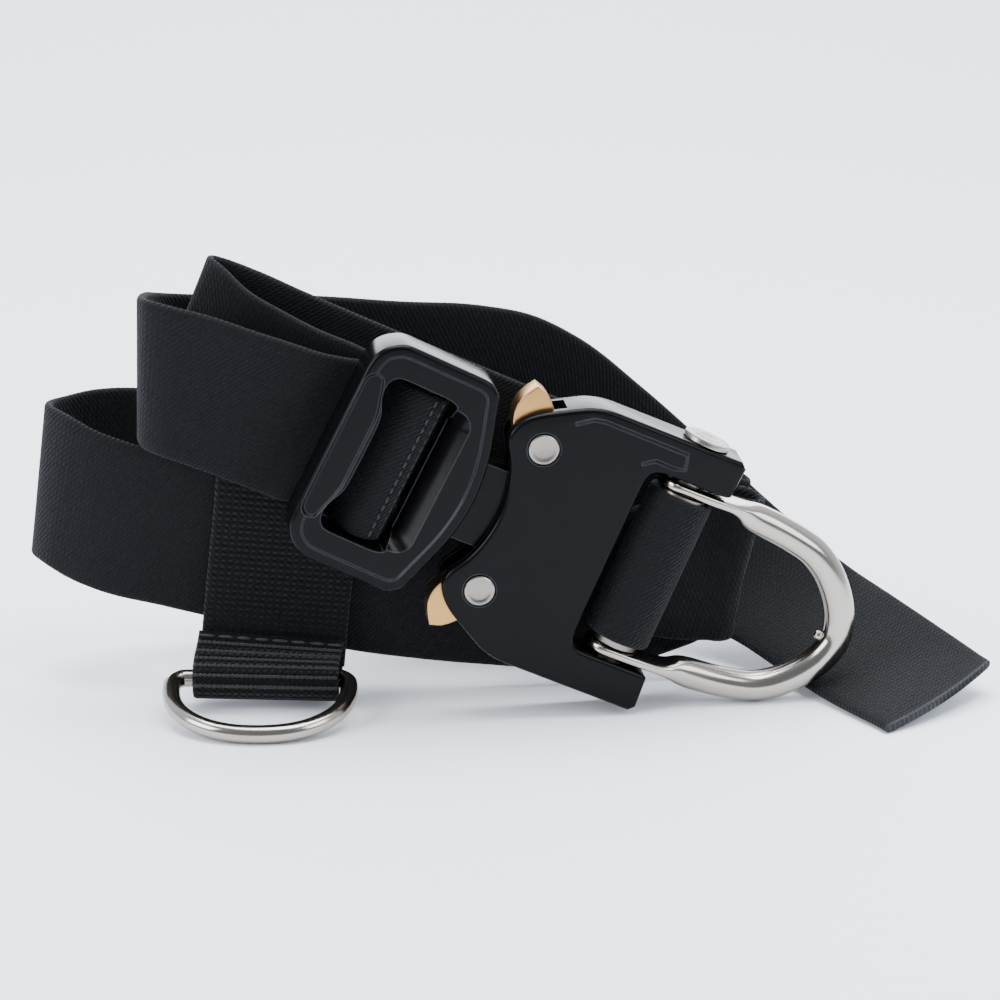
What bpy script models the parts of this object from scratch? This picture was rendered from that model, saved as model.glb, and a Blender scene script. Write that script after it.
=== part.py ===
# Rigger belt: 44 mm webbing, two-lever quick-release buckle, tie-in ring and a sewn accessory ring
# Lengths below are in millimetres and are turned into metres when each object is made

import bmesh
import bpy
import math
from mathutils import Vector

# Webbing
webbing_width = 44.0
webbing_thickness = 2.2
strips_across = 3
cut_slant = 5.0
tab_width = 40.0
tab_thickness = 1.8

# Buckle
body_half_width = 38.2
body_half_depth = 7.0
slot_half_width = 27.2
pocket_half_depth = 4.0
lever_half_depth = 3.6
tongue_half_depth = 3.4
pivot_u = -42.2
pivot_v = 21.5
frame_half_width = 32.4
edge_bevel = 0.9

# Cross pin, its roller and the tie-in ring
pin_radius = 4.0
roller_radius = 6.7
bore_play = 0.3
ring_rod_radius = 4.3

# Slide bar of the adjuster frame
bar_u = -77.6
bar_n = -2.4
bar_radius = 4.0

# Accessory ring
accessory_rod_radius = 2.5
accessory_tilt_deg = 12.0
accessory_half_width = 24.3
accessory_reach = 28.0
accessory_middle_x = -65.7

# Where the buckle sits: pin middle, then its yaw, lean and roll in degrees
pin_middle = Vector((40.4, 31.5, 40.1))
buckle_yaw = 7.7
buckle_lean = 1.3
buckle_roll = 24.3
frame_turn = 2.7
frame_turn_u = -50.0
frame_shift_v = -0.3

# Moves the layout so that its footprint is centred on the origin
centre_shift = Vector((-2.01, -48.32, 0.0))


def material(name, colour, metallic, roughness):
    made = bpy.data.materials.new(name)
    made.use_nodes = True
    shader = made.node_tree.nodes["Principled BSDF"]
    shader.inputs["Base Color"].default_value = (*colour, 1.0)
    shader.inputs["Metallic"].default_value = metallic
    shader.inputs["Roughness"].default_value = roughness
    return made


def new_object(name, points, faces, surface):
    mesh = bpy.data.meshes.new(name)
    placed = [(p + centre_shift) * 0.001 for p in points]
    mesh.from_pydata(placed, [], faces)
    shape = bmesh.new()
    shape.from_mesh(mesh)
    bmesh.ops.recalc_face_normals(shape, faces=shape.faces)
    shape.to_mesh(mesh)
    shape.free()
    made = bpy.data.objects.new(name, mesh)
    bpy.context.scene.collection.objects.link(made)
    made.data.materials.append(material(name + "_surface", *surface))
    return made


def axes_of(yaw, lean, roll):
    yaw, lean, roll = math.radians(yaw), math.radians(lean), math.radians(roll)
    level = Vector((math.cos(yaw), math.sin(yaw), 0.0))
    facing = Vector((math.sin(yaw), -math.cos(yaw), 0.0))
    up = Vector((0.0, 0.0, 1.0))
    normal = facing * math.cos(lean) + up * math.sin(lean)
    rise = up * math.cos(lean) - facing * math.sin(lean)
    along = level * math.cos(roll) - rise * math.sin(roll)
    across = -level * math.sin(roll) - rise * math.cos(roll)
    return along, across, normal


along, across, normal = axes_of(buckle_yaw, buckle_lean, buckle_roll)
frame_along, frame_across, frame_normal = axes_of(buckle_yaw, buckle_lean, buckle_roll + frame_turn)


# Buckle coordinates: u runs along the belt, v across it and n towards the viewer, from the pin's middle
def body_place(u, v, n):
    return pin_middle + along * u + across * v + normal * n


def frame_place(u, v, n):
    pivot = pin_middle + along * frame_turn_u + across * frame_shift_v
    return pivot + frame_along * (u - frame_turn_u) + frame_across * v + frame_normal * n


def inset(outline, amount):
    count = len(outline)
    area = 0.0
    for i in range(count):
        here, after = outline[i], outline[(i + 1) % count]
        area += here[0] * after[1] - after[0] * here[1]
    side = 1.0 if area > 0 else -1.0
    moved = []
    for i in range(count):
        before, here, after = outline[i - 1], outline[i], outline[(i + 1) % count]
        first = Vector((here[0] - before[0], here[1] - before[1])).normalized()
        second = Vector((after[0] - here[0], after[1] - here[1])).normalized()
        turn = first + second
        inward = Vector((-turn.y, turn.x)).normalized() * side
        bend = max(0.35, inward.dot(Vector((-first.y, first.x)) * side))
        moved.append((here[0] + inward.x * amount / bend, here[1] + inward.y * amount / bend))
    return moved


def mirrored(half):
    return half + [(u, -v) for u, v in reversed(half) if abs(v) > 1e-6]


def slab(name, outline, low, high, bevel, place, surface):
    inner = inset(outline, bevel) if bevel else outline
    levels = [(outline, low), (outline, high)]
    if bevel:
        levels = [(inner, low), (outline, low + bevel), (outline, high - bevel), (inner, high)]
    count = len(outline)
    points = []
    faces = []
    for ring, level in levels:
        points += [place(u, v, level) for u, v in ring]
    for row in range(len(levels) - 1):
        for i in range(count):
            j = (i + 1) % count
            faces.append((row * count + i, row * count + j, (row + 1) * count + j, (row + 1) * count + i))
    faces.append(tuple(range(count)))
    last = (len(levels) - 1) * count
    faces.append(tuple(last + i for i in range(count)))
    return new_object(name, points, faces, surface)


def turned(name, rows, sides, place, surface):
    # Rows of (radius, distance along the axis); place takes two crosswise values and the distance
    points = []
    faces = []
    for radius, level in rows:
        for i in range(sides):
            angle = 2 * math.pi * i / sides
            points.append(place(radius * math.cos(angle), radius * math.sin(angle), level))
    for row in range(len(rows) - 1):
        for i in range(sides):
            j = (i + 1) % sides
            faces.append((row * sides + i, row * sides + j, (row + 1) * sides + j, (row + 1) * sides + i))
    faces.append(tuple(range(sides)))
    faces.append(tuple((len(rows) - 1) * sides + i for i in range(sides)))
    return new_object(name, points, faces, surface)


def combine(target, cutters, operation):
    for cutter in cutters:
        cutter.hide_render = True
        cutter.display_type = "WIRE"
        step = target.modifiers.new(operation.lower() + "_" + cutter.name, "BOOLEAN")
        step.operation = operation
        step.solver = "EXACT"
        step.object = cutter
    bpy.context.view_layer.update()
    result = bpy.data.meshes.new_from_object(target.evaluated_get(bpy.context.evaluated_depsgraph_get()))
    target.modifiers.clear()
    target.data = result
    for cutter in cutters:
        bpy.data.objects.remove(cutter, do_unlink=True)
    return target


def section(x, depth, height, tilt, lean):
    # Middle of the webbing and the direction of its width: tilt to the right, lean away from the viewer
    tilt, lean = math.radians(tilt), math.radians(lean)
    side = Vector((math.sin(tilt) * math.cos(lean), math.sin(lean), math.cos(tilt) * math.cos(lean)))
    return Vector((x, depth, height)), side


def fold(x, depth, height, tilts, radius, flare, start, finish, steps):
    # Part of a turn about an upright line, from the first tilt to the second; flare widens its upper edge
    flare = math.radians(flare)
    turns = []
    for i in range(steps + 1):
        share = (1.0 - math.cos(math.pi * i / steps)) / 2
        tilt = tilts[0] + (tilts[1] - tilts[0]) * share
        middle, side = section(x, depth, height, tilt, 0.0)
        away = Vector((0.0, 1.0, 0.0))
        right = away.cross(side)
        angle = math.radians(start + (finish - start) * i / steps)
        out = right * math.cos(angle) + away * math.sin(angle)
        turns.append((middle + out * radius, side * math.cos(flare) + out * math.sin(flare)))
    return turns


def smooth(stations, spacing):
    # Fills long steps between stations with a smooth curve; also says where each station has ended up
    count = len(stations)
    knots = [0.0]
    for i in range(1, count):
        knots.append(knots[-1] + (stations[i][0] - stations[i - 1][0]).length)

    def slope(i, part):
        low, high = max(0, i - 1), min(count - 1, i + 1)
        if low == i or high == i:
            return (stations[high][part] - stations[low][part]) / (knots[high] - knots[low])
        before = (stations[i][part] - stations[low][part]) / (knots[i] - knots[low])
        after = (stations[high][part] - stations[i][part]) / (knots[high] - knots[i])
        share = (knots[i] - knots[low]) / (knots[high] - knots[low])
        return before * (1.0 - share) + after * share

    filled = []
    places = []
    for i in range(count - 1):
        places.append(len(filled))
        length = knots[i + 1] - knots[i]
        steps = max(1, round(length / spacing))
        for k in range(steps):
            t = k / steps
            values = []
            for part in (0, 1):
                a, b = stations[i][part], stations[i + 1][part]
                rise_a, rise_b = slope(i, part) * length, slope(i + 1, part) * length
                bend = 3 * (b - a) - 2 * rise_a - rise_b
                values.append(a + rise_a * t + bend * t * t + (2 * (a - b) + rise_a + rise_b) * t ** 3)
            filled.append((values[0], values[1].normalized()))
    places.append(len(filled))
    filled.append(stations[-1])
    return filled, places


def corners(stations, width, thickness):
    # Points round the webbing at each station: over the front from top to bottom, then back up behind
    count = len(stations)
    sets = []
    for i, (middle, side) in enumerate(stations):
        before = stations[max(0, i - 1)][0]
        after = stations[min(count - 1, i + 1)][0]
        face = (after - before).cross(side).normalized() * thickness / 2
        front = [middle + side * width * (0.5 - k / strips_across) + face for k in range(strips_across + 1)]
        sets.append(front + [p - face * 2 for p in reversed(front)])
    return sets


def ribbon(name, sets, surface):
    points = [p for corner_set in sets for p in corner_set]
    faces = []
    around = len(sets[0])
    for i in range(len(sets) - 1):
        for k in range(around):
            m = (k + 1) % around
            here, there = around * i, around * (i + 1)
            if k > strips_across:
                # Front and back are split along the same diagonal, so a twist keeps its thickness
                faces += [(here + k, here + m, there + m), (here + k, there + m, there + k)]
            else:
                faces += [(here + k, here + m, there + k), (here + m, there + m, there + k)]
    faces.append(tuple(range(around)))
    last = around * (len(sets) - 1)
    faces.append(tuple(last + k for k in range(around)))
    return new_object(name, points, faces, surface)


def shortened(sets, at_start, at_end):
    # Moves the end sections in along the webbing, so that neighbouring runs do not touch
    made = [list(corner_set) for corner_set in sets]
    if at_start:
        made[0] = [a + (b - a).normalized() * at_start for a, b in zip(made[0], made[1])]
    if at_end:
        made[-1] = [a + (b - a).normalized() * at_end for a, b in zip(made[-1], made[-2])]
    return made


def loop_tube(name, centre_line, plane_normal, radius, sides, surface):
    count = len(centre_line)
    points = []
    faces = []
    for i in range(count):
        heading = (centre_line[(i + 1) % count] - centre_line[i - 1]).normalized()
        outward = heading.cross(plane_normal).normalized()
        for k in range(sides):
            angle = 2 * math.pi * k / sides
            points.append(centre_line[i] + (outward * math.cos(angle) + plane_normal * math.sin(angle)) * radius)
    for i in range(count):
        j = (i + 1) % count
        for k in range(sides):
            m = (k + 1) % sides
            faces.append((i * sides + k, i * sides + m, j * sides + m, j * sides + k))
    return new_object(name, points, faces, surface)


# Start from an empty scene
for old in list(bpy.data.objects):
    bpy.data.objects.remove(old, do_unlink=True)

black_paint = ((0.012, 0.012, 0.013), 0.0, 0.35)
steel = ((0.62, 0.60, 0.57), 1.0, 0.22)
brass = ((0.72, 0.49, 0.22), 1.0, 0.35)
black_webbing = ((0.020, 0.020, 0.022), 0.0, 0.85)

# Female body: a fork for the cross pin at the right, a pocket for tongue and levers at the left
body_half = [
    (-45.7, 0.0), (-46.1, 4.8), (-47.1, 9.6), (-48.8, 14.2), (-50.6, 17.2), (-52.3, 19.8), (-52.7, 22.8),
    (-51.2, 26.4), (-47.6, 29.9), (-43.2, 32.4), (-38.6, 34.9), (-34.6, 37.0), (-29.5, body_half_width),
    (10.2, body_half_width), (11.8, 36.6), (11.2, slot_half_width + 0.8), (10.2, slot_half_width),
    (-9.2, slot_half_width), (-11.6, 26.2), (-12.7, 23.8), (-12.7, 0.0),
]
body_outline = [(u, v) for u, v in body_half] + [(u, -v) for u, v in reversed(body_half[1:-1])]
body = slab("buckle_body", body_outline, -body_half_depth, body_half_depth, edge_bevel, body_place, black_paint)

pocket_half = [
    (-62.0, 44.0), (-40.6, 44.0), (-40.6, 33.6), (-36.4, 28.0), (-33.0, 23.0), (-26.4, 23.0), (-23.6, 20.0),
]
pocket = slab(
    "pocket_cutter", mirrored(pocket_half), -pocket_half_depth, pocket_half_depth, 0.0, body_place, black_paint)
cutters = [pocket]
for side in (-1, 1):
    def rivet_place(a, b, level, side=side):
        return body_place(pivot_u + a, side * pivot_v + b, level)
    cutters.append(turned(f"rivet_hole_{side}", [(2.3, -9), (2.3, 9)], 20, rivet_place, black_paint))
    cutters.append(turned(f"front_seat_{side}", [(4.9, 6.1), (4.9, 9)], 28, rivet_place, black_paint))
    cutters.append(turned(f"back_seat_{side}", [(4.9, -9), (4.9, -6.1)], 28, rivet_place, black_paint))


def pin_place(a, b, level):
    return body_place(a, level, b)


bore_radius = pin_radius + bore_play
cutters.append(turned("pin_bore", [(bore_radius, -42), (bore_radius, 42)], 28, pin_place, black_paint))
combine(body, cutters, "DIFFERENCE")

# Two levers: an ear to press outside the body, a hub on the rivet and a jaw behind the tongue's head
lever_half = [
    (-52.0, 33.6), (-50.2, 36.4), (-46.6, 35.4), (-43.0, 31.9), (-39.4, 28.2), (-35.8, 24.0), (-33.6, 20.6),
    (-29.6, 19.4), (-27.9, 17.4), (-28.6, 15.0), (-30.5, 12.2), (-35.0, 13.0), (-40.0, 15.0), (-45.0, 16.4),
    (-49.0, 20.0), (-52.0, 23.6), (-53.4, 27.2), (-53.3, 30.6),
]
for side, tag in ((-1, "upper"), (1, "lower")):
    def rivet_place(a, b, level, side=side):
        return body_place(pivot_u + a, side * pivot_v + b, level)
    outline = [(u, side * v) for u, v in lever_half]
    lever = slab("lever_" + tag, outline, -lever_half_depth, lever_half_depth, 0.4, body_place, brass)
    combine(lever, [turned("lever_bore", [(2.3, -5), (2.3, 5)], 20, rivet_place, brass)], "DIFFERENCE")
    rows = [(4.0, -7.3), (4.6, -7.0), (4.6, -6.4), (2.0, -6.4), (2.0, 6.4), (4.6, 6.4), (4.6, 7.0), (4.0, 7.3)]
    turned("rivet_" + tag, rows, 24, rivet_place, steel)

# Cross pin with its head on the upper arm, and the roller that the webbing goes round
rows = [(6.0, -40.0), (6.6, -39.6), (6.6, -38.5), (pin_radius, -38.5), (pin_radius, 37.4), (3.4, 38.0)]
turned("cross_pin", rows, 28, pin_place, steel)
rows = [(roller_radius - 0.4, -22.8), (roller_radius, -22.4), (roller_radius, 22.4), (roller_radius - 0.4, 22.8)]
roller = turned("pin_roller", rows, 32, pin_place, steel)
bore = turned("roller_bore", [(bore_radius, -30), (bore_radius, 30)], 28, pin_place, steel)
combine(roller, [bore], "DIFFERENCE")

# Tie-in ring: flat legs with eyes on the pin, swelling into a round rod that closes the loop
ring_half = [
    # u, v, half size across the rod in the ring's plane, half size along n, roundness exponent
    (-7.6, 24.9, 1.5, 2.2, 4.0), (-7.0, 24.9, 1.5, 3.8, 4.0), (-5.6, 24.9, 1.5, 5.6, 4.0), (-3.6, 24.9, 1.5, 6.8, 4.0),
    (0.0, 24.9, 1.5, 7.0, 4.0), (8.0, 24.9, 1.5, 6.6, 4.0), (13.5, 24.9, 1.6, 5.8, 3.6), (16.8, 24.6, 2.4, 5.0, 3.0),
    (19.6, 24.0, 3.7, 4.5, 2.4), (23.0, 23.7, 4.3, 4.3, 2.0), (29.0, 23.2, 4.3, 4.3, 2.0), (35.0, 22.3, 4.3, 4.3, 2.0),
    (40.9, 20.8, 4.3, 4.3, 2.0), (46.0, 18.0, 4.3, 4.3, 2.0), (50.3, 14.2, 4.3, 4.3, 2.0), (54.0, 9.6, 4.3, 4.3, 2.0),
    (56.4, 4.9, 4.3, 4.3, 2.0), (57.4, 0.0, 4.3, 4.3, 2.0),
]
ring_rows = ring_half + [(u, -v, a, b, e) for u, v, a, b, e in reversed(ring_half[:-1])]
ring_sides = 16
points = []
faces = []
for i, (u, v, across_half, depth_half, power) in enumerate(ring_rows):
    before = ring_rows[max(0, i - 1)]
    after = ring_rows[min(len(ring_rows) - 1, i + 1)]
    heading = Vector((after[0] - before[0], after[1] - before[1])).normalized()
    outward = Vector((heading.y, -heading.x))
    for k in range(ring_sides):
        angle = 2 * math.pi * k / ring_sides
        c, s = math.cos(angle), math.sin(angle)
        a = across_half * math.copysign(abs(c) ** (2 / power), c)
        b = depth_half * math.copysign(abs(s) ** (2 / power), s)
        points.append(body_place(u + outward.x * a, v + outward.y * a, b))
for i in range(len(ring_rows) - 1):
    for k in range(ring_sides):
        m = (k + 1) % ring_sides
        faces.append((i * ring_sides + k, i * ring_sides + m, (i + 1) * ring_sides + m, (i + 1) * ring_sides + k))
faces.append(tuple(range(ring_sides)))
faces.append(tuple((len(ring_rows) - 1) * ring_sides + k for k in range(ring_sides)))
tie_ring = new_object("tie_in_ring", points, faces, steel)


def nub_place(a, b, level):
    # A short stud on the inner side of the ring's far end, pointing at the pin
    return body_place(51.4 + level, 0.5 + a, b)


nub = turned("ring_nub", [(0.8, 0.0), (1.2, 0.6), (1.2, 4.0)], 12, nub_place, steel)
combine(tie_ring, [nub], "UNION")
bore = turned("eye_bore", [(bore_radius, -30), (bore_radius, 30)], 28, pin_place, steel)
combine(tie_ring, [bore], "DIFFERENCE")

# Adjuster frame with its tongue: window, ramp, seats for the slide bar and a relieved back edge
frame_half = [
    (-53.6, 0.0), (-53.9, 5.0), (-54.6, 10.0), (-55.8, 15.2), (-57.4, 20.2), (-59.0, 25.0), (-60.4, 29.4),
    (-62.4, 31.2), (-64.6, frame_half_width), (-89.6, frame_half_width), (-92.8, 30.7), (-95.2, 28.6),
    (-96.6, 25.6), (-97.0, 22.0), (-97.0, 0.0),
]
frame_outline = frame_half + [(u, -v) for u, v in reversed(frame_half[1:-1])]
frame = slab("adjuster_frame", frame_outline, -body_half_depth, body_half_depth, 1.2, frame_place, black_paint)
tongue_half = [
    (-58.0, 11.4), (-30.1, 11.4), (-28.0, 14.5), (-26.6, 14.5), (-24.6, 12.6), (-24.2, 10.0),
]
tongue = slab(
    "tongue", mirrored(tongue_half), -tongue_half_depth, tongue_half_depth, 0.0, body_place, black_paint)
combine(frame, [tongue], "UNION")
window_half = [
    (-86.8, 0.0), (-86.9, 9.0), (-87.4, 12.4), (-89.4, 16.0), (-89.9, 19.4), (-89.0, 22.0), (-87.0, 23.2),
    (-72.2, 23.2), (-70.0, 22.4), (-69.2, 20.2), (-69.2, 0.0),
]
window_outline = window_half + [(u, -v) for u, v in reversed(window_half[1:-1])]
window = slab("window_cutter", window_outline, -12, 12, 0.0, frame_place, black_paint)


def ramp_place(u, n, v):
    return frame_place(u, v, n)


ramp_side = [(-71.0, -1.5), (-63.4, 9.0), (-71.0, 9.0)]
ramp = slab("ramp_cutter", ramp_side, -20.6, 20.6, 0.0, ramp_place, black_paint)
relief_side = [(-92.6, -9.0), (-85.0, -9.0), (-85.0, 0.0), (-87.2, 0.0)]
relief = slab("relief_cutter", relief_side, -23.2, 23.2, 0.0, ramp_place, black_paint)


def bar_place(a, b, level):
    return frame_place(bar_u + a, level, bar_n + b)


seat_radius = bar_radius + 0.4
seat = turned("bar_seat", [(seat_radius, -27.6), (seat_radius, 27.6)], 28, bar_place, black_paint)
combine(frame, [window, ramp, relief, seat], "DIFFERENCE")
rows = [(bar_radius - 0.4, -27.2), (bar_radius, -26.8), (bar_radius, 26.8), (bar_radius - 0.4, 27.2)]
turned("slide_bar", rows, 28, bar_place, black_paint)

# Belt webbing: one strap, from its sewn eye on the roller to its free end, made run by run
eye_radius = roller_radius + webbing_thickness / 2 + 0.3
wrap_radius = bar_radius + webbing_thickness / 2 + 0.4
run_gap = 0.15
pin_eye = []
for i in range(13):
    angle = math.radians(-40.0 + 25.2 * i)
    pin_eye.append((body_place(eye_radius * math.cos(angle), -0.8, eye_radius * math.sin(angle)), -across))

# Rows: x, depth, height, tilt and lean
right_run = [
    (49.8, 42.6, 36.9, 20, 3), (58.4, 45.0, 34.9, 15, 0),
]
lower_run = [
    (55.0, 53.0, 33.3, -6, 0), (47.0, 52.0, 31.0, -14, 0), (36.0, 49.8, 27.8, -12, 0), (20.0, 47.2, 26.3, 0, 0),
    (1.5, 45.0, 28.1, 9, 0), (-20.7, 43.0, 30.9, 9, 0), (-40.5, 41.5, 34.4, 10, 0), (-59.0, 40.0, 40.1, 12, -2),
    (-77.3, 39.0, 44.4, 14, -3), (-87.8, 39.4, 47.0, 14, -2), (-105.2, 41.6, 50.8, 12, 0),
]
left_turn = [
    (-115.4, 45.0, 53.8, 10, 0), (-122.6, 49.6, 56.6, 9, 0), (-126.6, 55.4, 57.2, 7, 0), (-126.0, 61.8, 56.4, 5, 0),
    (-122.0, 67.6, 55.6, 4, 1), (-115.4, 73.0, 55.6, 5, 2), (-105.0, 78.4, 54.6, 9, 2),
]
back_run = [
    (-92.0, 81.4, 51.8, 14, 1), (-78.0, 82.6, 46.4, 20, 0), (-60.0, 82.2, 38.6, 22, 0), (-44.0, 80.2, 31.0, 20, 0),
    (-28.0, 77.4, 25.2, 12, 0), (-12.0, 74.6, 22.3, 3, 0), (5.0, 71.4, 23.2, -8, 0), (22.0, 68.2, 27.2, -13, 0),
    (38.0, 66.4, 32.8, -10, 0), (50.0, 65.0, 35.2, -2, 0),
]
upper_run = [
    (46.0, 57.4, 41.8, 23, 0), (30.0, 56.0, 50.4, 25, 1), (-4.5, 52.0, 66.8, 24, 2), (-39.9, 49.4, 83.1, 24, 2),
    (-62.7, 48.8, 93.5, 23, 2), (-73.1, 48.2, 98.6, 21, 2),
]
upper_front = [
    (-78.1, 36.8, 98.0, 28, 0), (-68.8, 35.2, 92.6, 28, 1), (-58.4, 34.6, 87.2, 27, 1),
]
front_run = [
    (-56.0, 28.4, 82.4, 24, -2), (-63.7, 27.2, 85.6, 22, -4), (-71.9, 26.0, 89.0, 18, -6),
    (-82.8, 25.0, 93.3, 13, -6), (-90.0, 25.2, 95.4, 8, -7),
]
front_turn = [
    (-94.8, 27.4, 96.4, 4, -8), (-96.8, 32.0, 96.2, 2, -9), (-97.0, 38.0, 95.4, 2, -9), (-96.8, 44.0, 94.0, 3, -8),
    (-96.0, 50.0, 91.8, 5, -6), (-93.4, 54.8, 89.8, 8, -3), (-88.6, 57.8, 88.4, 10, 0),
]
tail_run = [
    (-76.0, 60.6, 87.4, 12, 1), (-57.0, 64.0, 86.3, 14, 1), (-33.7, 69.0, 83.5, 16, 0), (-12.3, 74.0, 81.1, 18, 0),
    (0.9, 78.0, 77.5, 22, 0), (12.0, 81.0, 70.6, 28, 2), (26.6, 84.0, 56.9, 36, 8), (43.0, 86.0, 41.2, 42, 18),
    (60.4, 85.0, 26.4, 52, 29), (72.5, 81.5, 18.4, 62, 35), (82.5, 75.0, 13.8, 69, 37), (93.9, 61.0, 10.4, 71, 36),
    (106.2, 44.5, 7.2, 72, 37), (118.4, 27.2, 5.3, 76, 42),
]


def wrap_place(u, n, v):
    return frame_place(u, v, n), -frame_across


bar_wrap = [wrap_place(-91.0, -12.1, -0.6), wrap_place(-84.0, -9.9, -0.4)]
for i in range(9):
    angle = math.radians(-90.0 + 28.0 * i)
    along_wrap = bar_u + wrap_radius * math.cos(angle)
    bar_wrap.append(wrap_place(along_wrap, bar_n + wrap_radius * math.sin(angle), -0.4 + 0.1 * i))
for u, n, v in ((-85.4, -3.8, 0.1), (-88.0, -7.2, 0.1), (-91.2, -9.3, 0.3), (-98.0, -9.5, 2.6)):
    bar_wrap.append(wrap_place(u, n, v))


def placed_rows(rows):
    return [section(*row) for row in rows]


right_fold = fold(63.4, 49.3, 34.2, (15, 0), 3.9, 4, -90, 90, 7)
right_turn = fold(60.4, 61.2, 35.8, (6, 19), 3.2, 0, 90, -90, 7)
upper_fold = fold(-83.0, 45.0, 102.6, (18, 24), 3.4, 0, 90, 235, 7)
runs = [
    ("webbing_pin_eye", pin_eye + placed_rows(right_run) + right_fold),
    ("webbing_lower_run", placed_rows(lower_run)),
    ("webbing_left_turn", placed_rows(left_turn)),
    ("webbing_back_run", placed_rows(back_run) + right_turn + placed_rows(upper_run[:1])),
    ("webbing_upper_run", placed_rows(upper_run[1:])),
    ("webbing_upper_turn", upper_fold + placed_rows(upper_front) + [wrap_place(-98.0, -13.0, -0.6)]),
    ("webbing_bar_wrap", bar_wrap),
    ("webbing_front_run", placed_rows(front_run)),
    ("webbing_front_turn", placed_rows(front_turn)),
    ("webbing_tail", placed_rows(tail_run)),
]
strap = []
ends = []
for name, stations in runs:
    strap += stations
    ends.append(len(strap) - 1)
filled, places = smooth(strap, 4.0)
sets = corners(filled, webbing_width, webbing_thickness)
for k in range(len(sets[-1])):
    row = min(k, len(sets[-1]) - 1 - k) / strips_across
    sets[-1][k] += (sets[-1][k] - sets[-2][k]).normalized() * cut_slant * row
start = 0
for (name, stations), end in zip(runs, ends):
    run = sets[places[start]:places[end] + 1]
    run = shortened(run, run_gap if start else 0.0, run_gap if end != ends[-1] else 0.0)
    ribbon(name, run, black_webbing)
    start = end

# Webbing tab: over the belt, down both sides of it and round the bar of the accessory ring
# Rows: x, depth, height, fall to the right and yaw of the tab's width
tab_rows = [
    (-62.8, 35.4, 11.4, 6, 2), (-62.4, 36.3, 15.5, 6, 3), (-61.8, 37.1, 22.0, 6, 3.5),
    (-60.1, 36.9, 38.0, 6, 3.5), (-57.9, 36.1, 58.0, 7, 3.5), (-57.5, 36.0, 62.6, 8, 3),
    (-57.3, 36.9, 65.2, 9, 3), (-57.2, 39.2, 66.3, 10, 3), (-57.3, 41.5, 65.2, 9, 3),
    (-57.5, 42.4, 62.6, 8, 3), (-57.9, 42.6, 58.0, 7, 3.5), (-60.1, 43.2, 38.0, 6, 3.5),
    (-61.8, 43.8, 21.0, 6, 3.5), (-62.4, 43.2, 14.6, 6, 3), (-63.4, 39.4, 9.2, 4, 2), (-64.3, 33.0, 4.8, 1.5, 0),
    (-64.3, 29.4, 3.3, 1.2, 0), (-64.3, 25.7, 4.8, 1.2, 0), (-64.3, 24.3, 8.3, 1.2, 0), (-64.3, 25.9, 11.7, 1.6, 0),
    (-64.0, 29.8, 13.8, 3, 1), (-63.3, 32.8, 16.2, 5, 2), (-62.7, 34.4, 19.4, 6, 3), (-62.2, 34.9, 23.2, 6, 3.5),
]
tab_stations = []
for x, depth, height, fall, yaw in tab_rows:
    fall, yaw = math.radians(fall), math.radians(yaw)
    side = Vector((math.cos(fall) * math.cos(yaw), math.cos(fall) * math.sin(yaw), -math.sin(fall)))
    tab_stations.append((Vector((x, depth, height)), side))
filled, places = smooth(tab_stations, 5.0)
ribbon("webbing_tab", corners(filled, tab_width, tab_thickness), black_webbing)

# Accessory ring: a D of round rod, its straight bar in the tab and its bow on the floor
ring_half = [
    (0.0, 0.0), (10.0, 0.0), (20.3, 0.0), (22.3, 0.5), (23.8, 2.0), (24.3, 4.0), (24.3, 8.0), (23.4, 13.0),
    (21.2, 17.8), (17.6, 22.0), (12.6, 25.4), (6.6, 27.4), (0.0, accessory_reach),
]
ring_path = ring_half + [(-p, q) for p, q in reversed(ring_half[1:-1])]
tilt = math.radians(accessory_tilt_deg)
reach_way = Vector((0.0, -math.cos(tilt), -math.sin(tilt)))
bar_middle = Vector((accessory_middle_x, accessory_rod_radius, accessory_rod_radius)) - reach_way * accessory_reach
centre_line = [bar_middle + Vector((p, 0.0, 0.0)) + reach_way * q for p, q in ring_path]
ring_normal = Vector((0.0, -math.sin(tilt), math.cos(tilt)))
loop_tube("accessory_ring", centre_line, ring_normal, accessory_rod_radius, 14, steel)
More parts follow.
